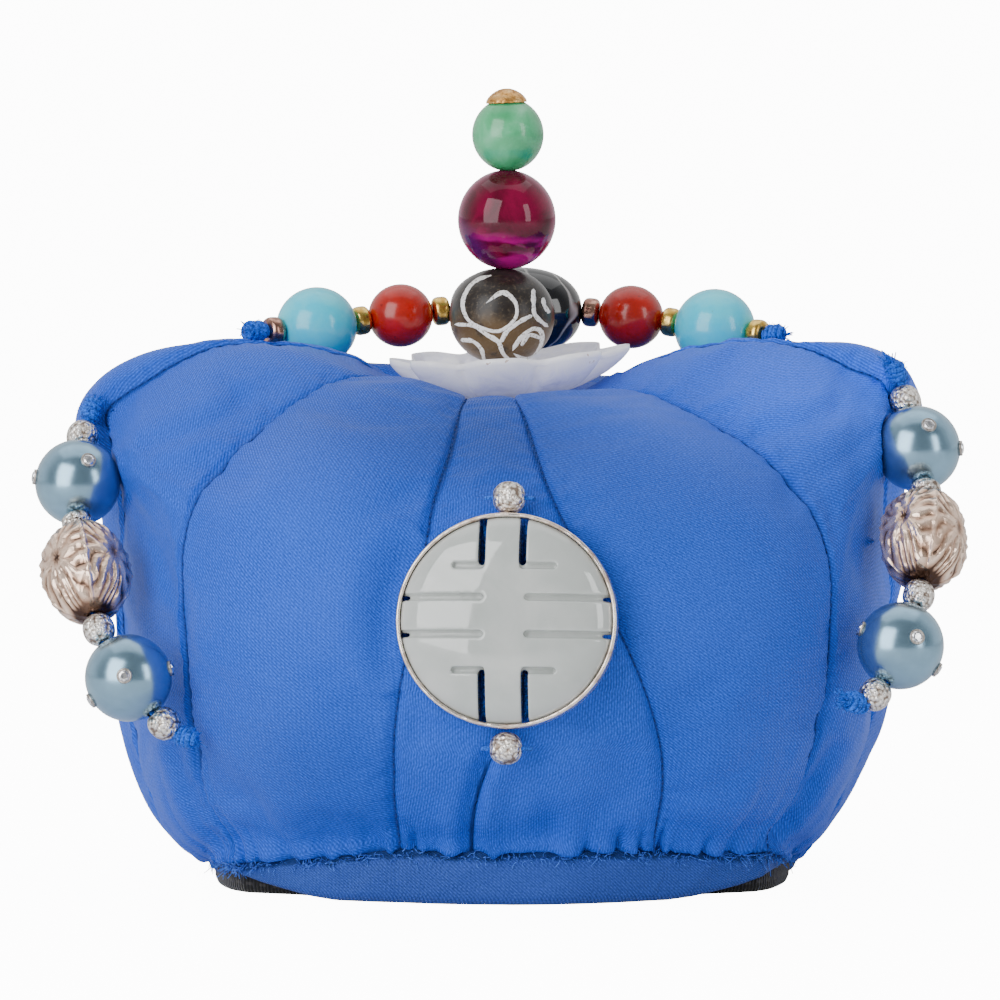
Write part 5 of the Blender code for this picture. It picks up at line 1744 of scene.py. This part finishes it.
class OBJECT_OT_coronet_stack(Operator):
    """Thread the stack: carved stone, dark glass, green jade and a gold cap"""

    bl_idname = "object.coronet_stack"
    bl_label = "Stack"

    # The cap's outside from its middle outwards and the rim of its hole: radius and height in mm.
    CAP = ((0.7, 2.66), (1.3, 2.5), (2.0, 2.2), (2.7, 1.75), (3.3, 1.2), (3.7, 0.62), (3.82, 0.3), (3.8, 0.1),
           (3.72, 0.06), (2.36, 0.75), (0.86, 0.75), (0.86, 1.6))
    CAP_SIDES = 96

    def execute(self, context):
        settings = context.scene.coronet_beads
        names = [(f"stack_{kind}_bead", kind) for kind in ("carved", "magenta", "green")]
        laid = [(name, kind, *bead_frame(name)) for name, kind in names]
        add_beads(laid, settings)
        centre, turned = laid[0][2:]
        ribbons = []
        for turned_by in (0.0, math.pi):
            for places in SCROLLS:
                grid = scroll_ribbon(places, turned_by, *BEADS["carved"])
                ribbons.append(skin("scroll", grid @ turned.T + centre, close_columns=False))
        chalk, tree, shader = new_material("white scrolls", Roughness=0.6)
        grit = noise_of(tree, object_place(tree), 2200.0, 3.0)
        colour = mixed(tree, spread(tree, grit, 0.3, 0.46), (0.25, 0.22, 0.19), (0.86, 0.85, 0.83))
        connect(tree, shader, Base_Color=colour, Normal=bump(tree, grit, 0.6, 0.0002))
        add_piece("stack_carved_bead_scrolls", joined("scrolls", ribbons), chalk, ())
        self.add_cap(laid[-1][3])
        line = [np.array([FLOWER_MIDDLE_X, 0, 88.4])]
        for _, kind, centre, turned in laid:
            line += [centre - turned[:, 2] * bead_end(kind), centre + turned[:, 2] * bead_end(kind)]
        line.append(line[-1] + turned[:, 2] * 0.5)
        thread = tube("thread", smooth_path(line, 4), THREAD_RADIUS)
        add_piece("stack_thread_twist", thread, MADE["thread"], ("stack_thread",))
        return {"FINISHED"}

    def add_cap(self, turned):
        """The domed gold cap with its pressed edge, in the frame of the bead below it."""
        points = node_points("stack_cap")
        centre = points.mean(axis=0)
        foot = centre + turned[:, 2] * ((points - centre) @ turned[:, 2]).min()
        grid = lathe(self.CAP, self.CAP_SIDES)
        press = 0.1 * np.abs(np.sin(8 * turns_round(self.CAP_SIDES)))
        for row, share in ((4, 0.5), (5, 0.8), (6, 1.0), (7, 1.0), (8, 0.7)):
            grid[row, :, 2] -= press * share
        tips = tuple(np.array([0, 0, height]) @ turned.T + foot for height in (2.7, 1.6))
        mesh = skin("cap", grid @ turned.T + foot, tips=tips)
        made, tree, shader = new_material("old gold", Metallic=1.0, Roughness=0.34)
        wear = noise_of(tree, object_place(tree), 900.0, 4.0, 0.7)
        colour = ramp(tree, wear, (0.3, 0.16, 0.06, 0.02), (0.5, 0.7, 0.36, 0.1), (0.72, 0.9, 0.62, 0.28))
        connect(tree, shader, Base_Color=colour, Roughness=spread(tree, wear, 0.3, 0.7, 0.5, 0.25),
                Normal=bump(tree, wear, 0.5, 0.0004))
        add_piece("stack_cap_gold", mesh, made, ("stack_cap",))


class OBJECT_OT_coronet_strings(Operator):
    """Thread the string behind the stack and the two side strings"""

    bl_idname = "object.coronet_strings"
    bl_label = "Bead strings"

    # The clear stones on each pearl: places across and up as seen from the front, as shares of its radius.
    STONES = {
        "left_pearl_1": ((0.29, 0.57), (-0.98, 0.14), (0.1, -0.72)),
        "left_pearl_2": ((-0.05, 0.14), (0.97, 0.23), (-0.84, -0.5)),
        "right_pearl_1": ((0.22, 0.6), (0.99, 0.02), (-0.98, -0.1)),
        "right_pearl_2": ((0.33, 0.28), (-0.91, 0.4), (0.83, -0.54)),
    }
    # Radii as shares of a cup's radius and heights in mm, from the top down.
    CUP = ((0.75, 0.42), (0.86, 0.5), (0.98, 0.42), (1.0, 0.0), (0.7, -0.2))
    GEM = ((0.42, 0.78), (0.62, 0.7), (0.8, 0.42), (0.2, 0.0))

    def execute(self, context):
        settings = context.scene.coronet_beads
        for prefix, beads in (("top", TOP_STRING), ("left", SIDE_STRING), ("right", SIDE_STRING)):
            laid = string_beads(prefix, beads)
            add_beads(laid, settings)
            add_string_thread(prefix, laid)
        self.add_clear_stones(settings.stone_cup / MM)
        return {"FINISHED"}

    def add_clear_stones(self, cup):
        """Each stone in its cup, sunk a little into the pearl; the pearl's back has as many."""
        places = []
        outs = []
        for name, seen in self.STONES.items():
            centre, _ = bead_frame(name)
            for across, up in seen:
                deep = math.sqrt(max(1 - across**2 - up**2, 0.0))
                for out in ((across, -deep, up), (-across * 0.8, deep + 0.35, up * 0.9 - 0.1)):
                    outs.append(unit(np.array(out))[None])
                    places.append(centre + outs[-1] * (BEADS["pearl"][0] - 0.12))
        cups = lathe([(cup * share, height) for share, height in self.CUP], 20)
        cups[1, :, 2] += 0.1 * np.cos(4 * turns_round(20))
        gems = lathe([(cup * share, height) for share, height in self.GEM], 8)
        gems[1] = gems[1] @ np.array(Matrix.Rotation(math.pi / 8, 3, "Z")).T
        metal, tree, shader = new_material("dark cup silver", Metallic=1.0, Roughness=0.35)
        wear = noise_of(tree, object_place(tree), 1800.0)
        connect(tree, shader, Base_Color=mixed(tree, wear, (0.12, 0.1, 0.09), (0.75, 0.7, 0.64)))
        clear, tree, shader = new_material("clear stone", Metallic=0.9, Roughness=0.04)
        glint = spread(tree, noise_of(tree, object_place(tree), 1500.0, 0.0), 0.4, 0.6)
        connect(tree, shader, Base_Color=mixed(tree, glint, (0.6, 0.62, 0.66), (0.98, 0.98, 1.0)))
        for name, grid, top, bottom, material, smooth in (
            ("pearl_cups", cups, 0.3, -0.2, metal, True), ("pearl_stones", gems, 0.78, 0.0, clear, False),
        ):
            shape = small_skin(name, grid, (0, 0, top), (0, 0, bottom))
            made = set_many(set_on_points, line_mesh(places, outs), shape, Material=material)
            add_piece(name, made, None, (), smooth=smooth)


class OBJECT_OT_coronet_stage(Operator):
    """Lay the floor and set the lights and the camera"""

    bl_idname = "object.coronet_stage"
    bl_label = "Stage"

    # Softboxes: place in metres, width and height in metres and power in watts; all aim at the coronet's middle.
    LIGHTS = (
        ((-0.8, -1.0, 0.62), 0.95, 1.35, 20.5),
        ((0.95, -0.75, 0.45), 0.3, 0.8, 3.4),
        ((0.0, 0.25, 1.25), 1.6, 1.1, 4.2),
    )
    LIGHTS_AIM = Vector((0, 0, 0.07))

    def execute(self, context):
        settings = context.scene.coronet_stage
        half = settings.floor_size / 2
        mesh = bpy.data.meshes.new("floor")
        corners = [(x, y, -0.0002) for x, y in ((-half, -half), (half, -half), (half, half), (-half, half))]
        mesh.from_pydata(corners, [], [(0, 1, 2, 3)])
        pale, tree, shader = new_material(
            "pale floor", Roughness=0.9, Base_Color=(0.9, 0.9, 0.9), Emission_Color=(1, 1, 1)
        )
        seen = add_node(tree, "ShaderNodeLightPath").outputs["Is Camera Ray"]
        connect(tree, shader, Emission_Strength=times(tree, seen, 12.0))
        mesh.materials.append(pale)
        add_object("floor", mesh)
        world = bpy.data.worlds.new("studio")
        world.use_nodes = True
        sky = world.node_tree
        glow = spread(sky, split(sky, object_place(sky))[1], -0.35, 0.45, 0.28, 1.05)
        connect(sky, sky.nodes["Background"], Strength=glow, Color=(1, 1, 1))
        context.scene.world = world
        for place, wide, tall, power in self.LIGHTS:
            light = bpy.data.lights.new("softbox", "AREA")
            light.shape = "RECTANGLE"
            light.size = wide
            light.size_y = tall
            light.energy = power
            lamp = add_object("softbox", light)
            lamp.location = place
            lamp.rotation_euler = (self.LIGHTS_AIM - Vector(place)).to_track_quat("-Z", "Y").to_euler()
        lens = bpy.data.cameras.new("camera")
        camera = add_object("camera", lens)
        back = settings.distance * math.cos(settings.elevation)
        high = settings.distance * math.sin(settings.elevation)
        camera.location = (SHIFT[0] * MM, SHIFT[1] * MM - back, settings.aim_height + high)
        camera.rotation_euler = (math.pi / 2 - settings.elevation, 0, 0)
        lens.sensor_width = 36
        lens.lens = lens.sensor_width * settings.pixels_per_mm * settings.distance
        lens.shift_x = -0.003
        lens.shift_y = -0.0295
        lens.clip_end = 50
        context.scene.camera = camera
        return {"FINISHED"}


class VIEW3D_PT_coronet(Panel):
    """Makes the coronet piece by piece"""

    bl_idname = "VIEW3D_PT_coronet"
    bl_label = "Jokduri"
    bl_space_type = "VIEW_3D"
    bl_region_type = "UI"
    bl_category = "Jokduri"

    def draw(self, context):
        for settings in (context.scene.coronet_cloth, context.scene.coronet_beads, context.scene.coronet_stage):
            box = self.layout.box()
            for name in settings.bl_rna.properties.keys():
                if name not in ("rna_type", "name"):
                    box.prop(settings, name)
        for operator in OPERATORS:
            self.layout.operator(operator.bl_idname)


OPERATORS = (
    OBJECT_OT_coronet_stage,
    OBJECT_OT_coronet_cloth,
    OBJECT_OT_coronet_stitches,
    OBJECT_OT_coronet_hem,
    OBJECT_OT_coronet_medallion,
    OBJECT_OT_coronet_flower,
    OBJECT_OT_coronet_stack,
    OBJECT_OT_coronet_strings,
)
GROUPS = (CoronetCloth, CoronetBeads, CoronetStage)


def register():
    for made in (*GROUPS, *OPERATORS, VIEW3D_PT_coronet):
        bpy.utils.register_class(made)
    bpy.types.Scene.coronet_cloth = PointerProperty(type=CoronetCloth)
    bpy.types.Scene.coronet_beads = PointerProperty(type=CoronetBeads)
    bpy.types.Scene.coronet_stage = PointerProperty(type=CoronetStage)


def unregister():
    del bpy.types.Scene.coronet_stage
    del bpy.types.Scene.coronet_beads
    del bpy.types.Scene.coronet_cloth
    for made in (VIEW3D_PT_coronet, *reversed(OPERATORS), *reversed(GROUPS)):
        bpy.utils.unregister_class(made)


def main():
    register()
    for operator in OPERATORS:
        group, name = operator.bl_idname.split(".")
        getattr(getattr(bpy.ops, group), name)()


if __name__ == "__main__":
    main()
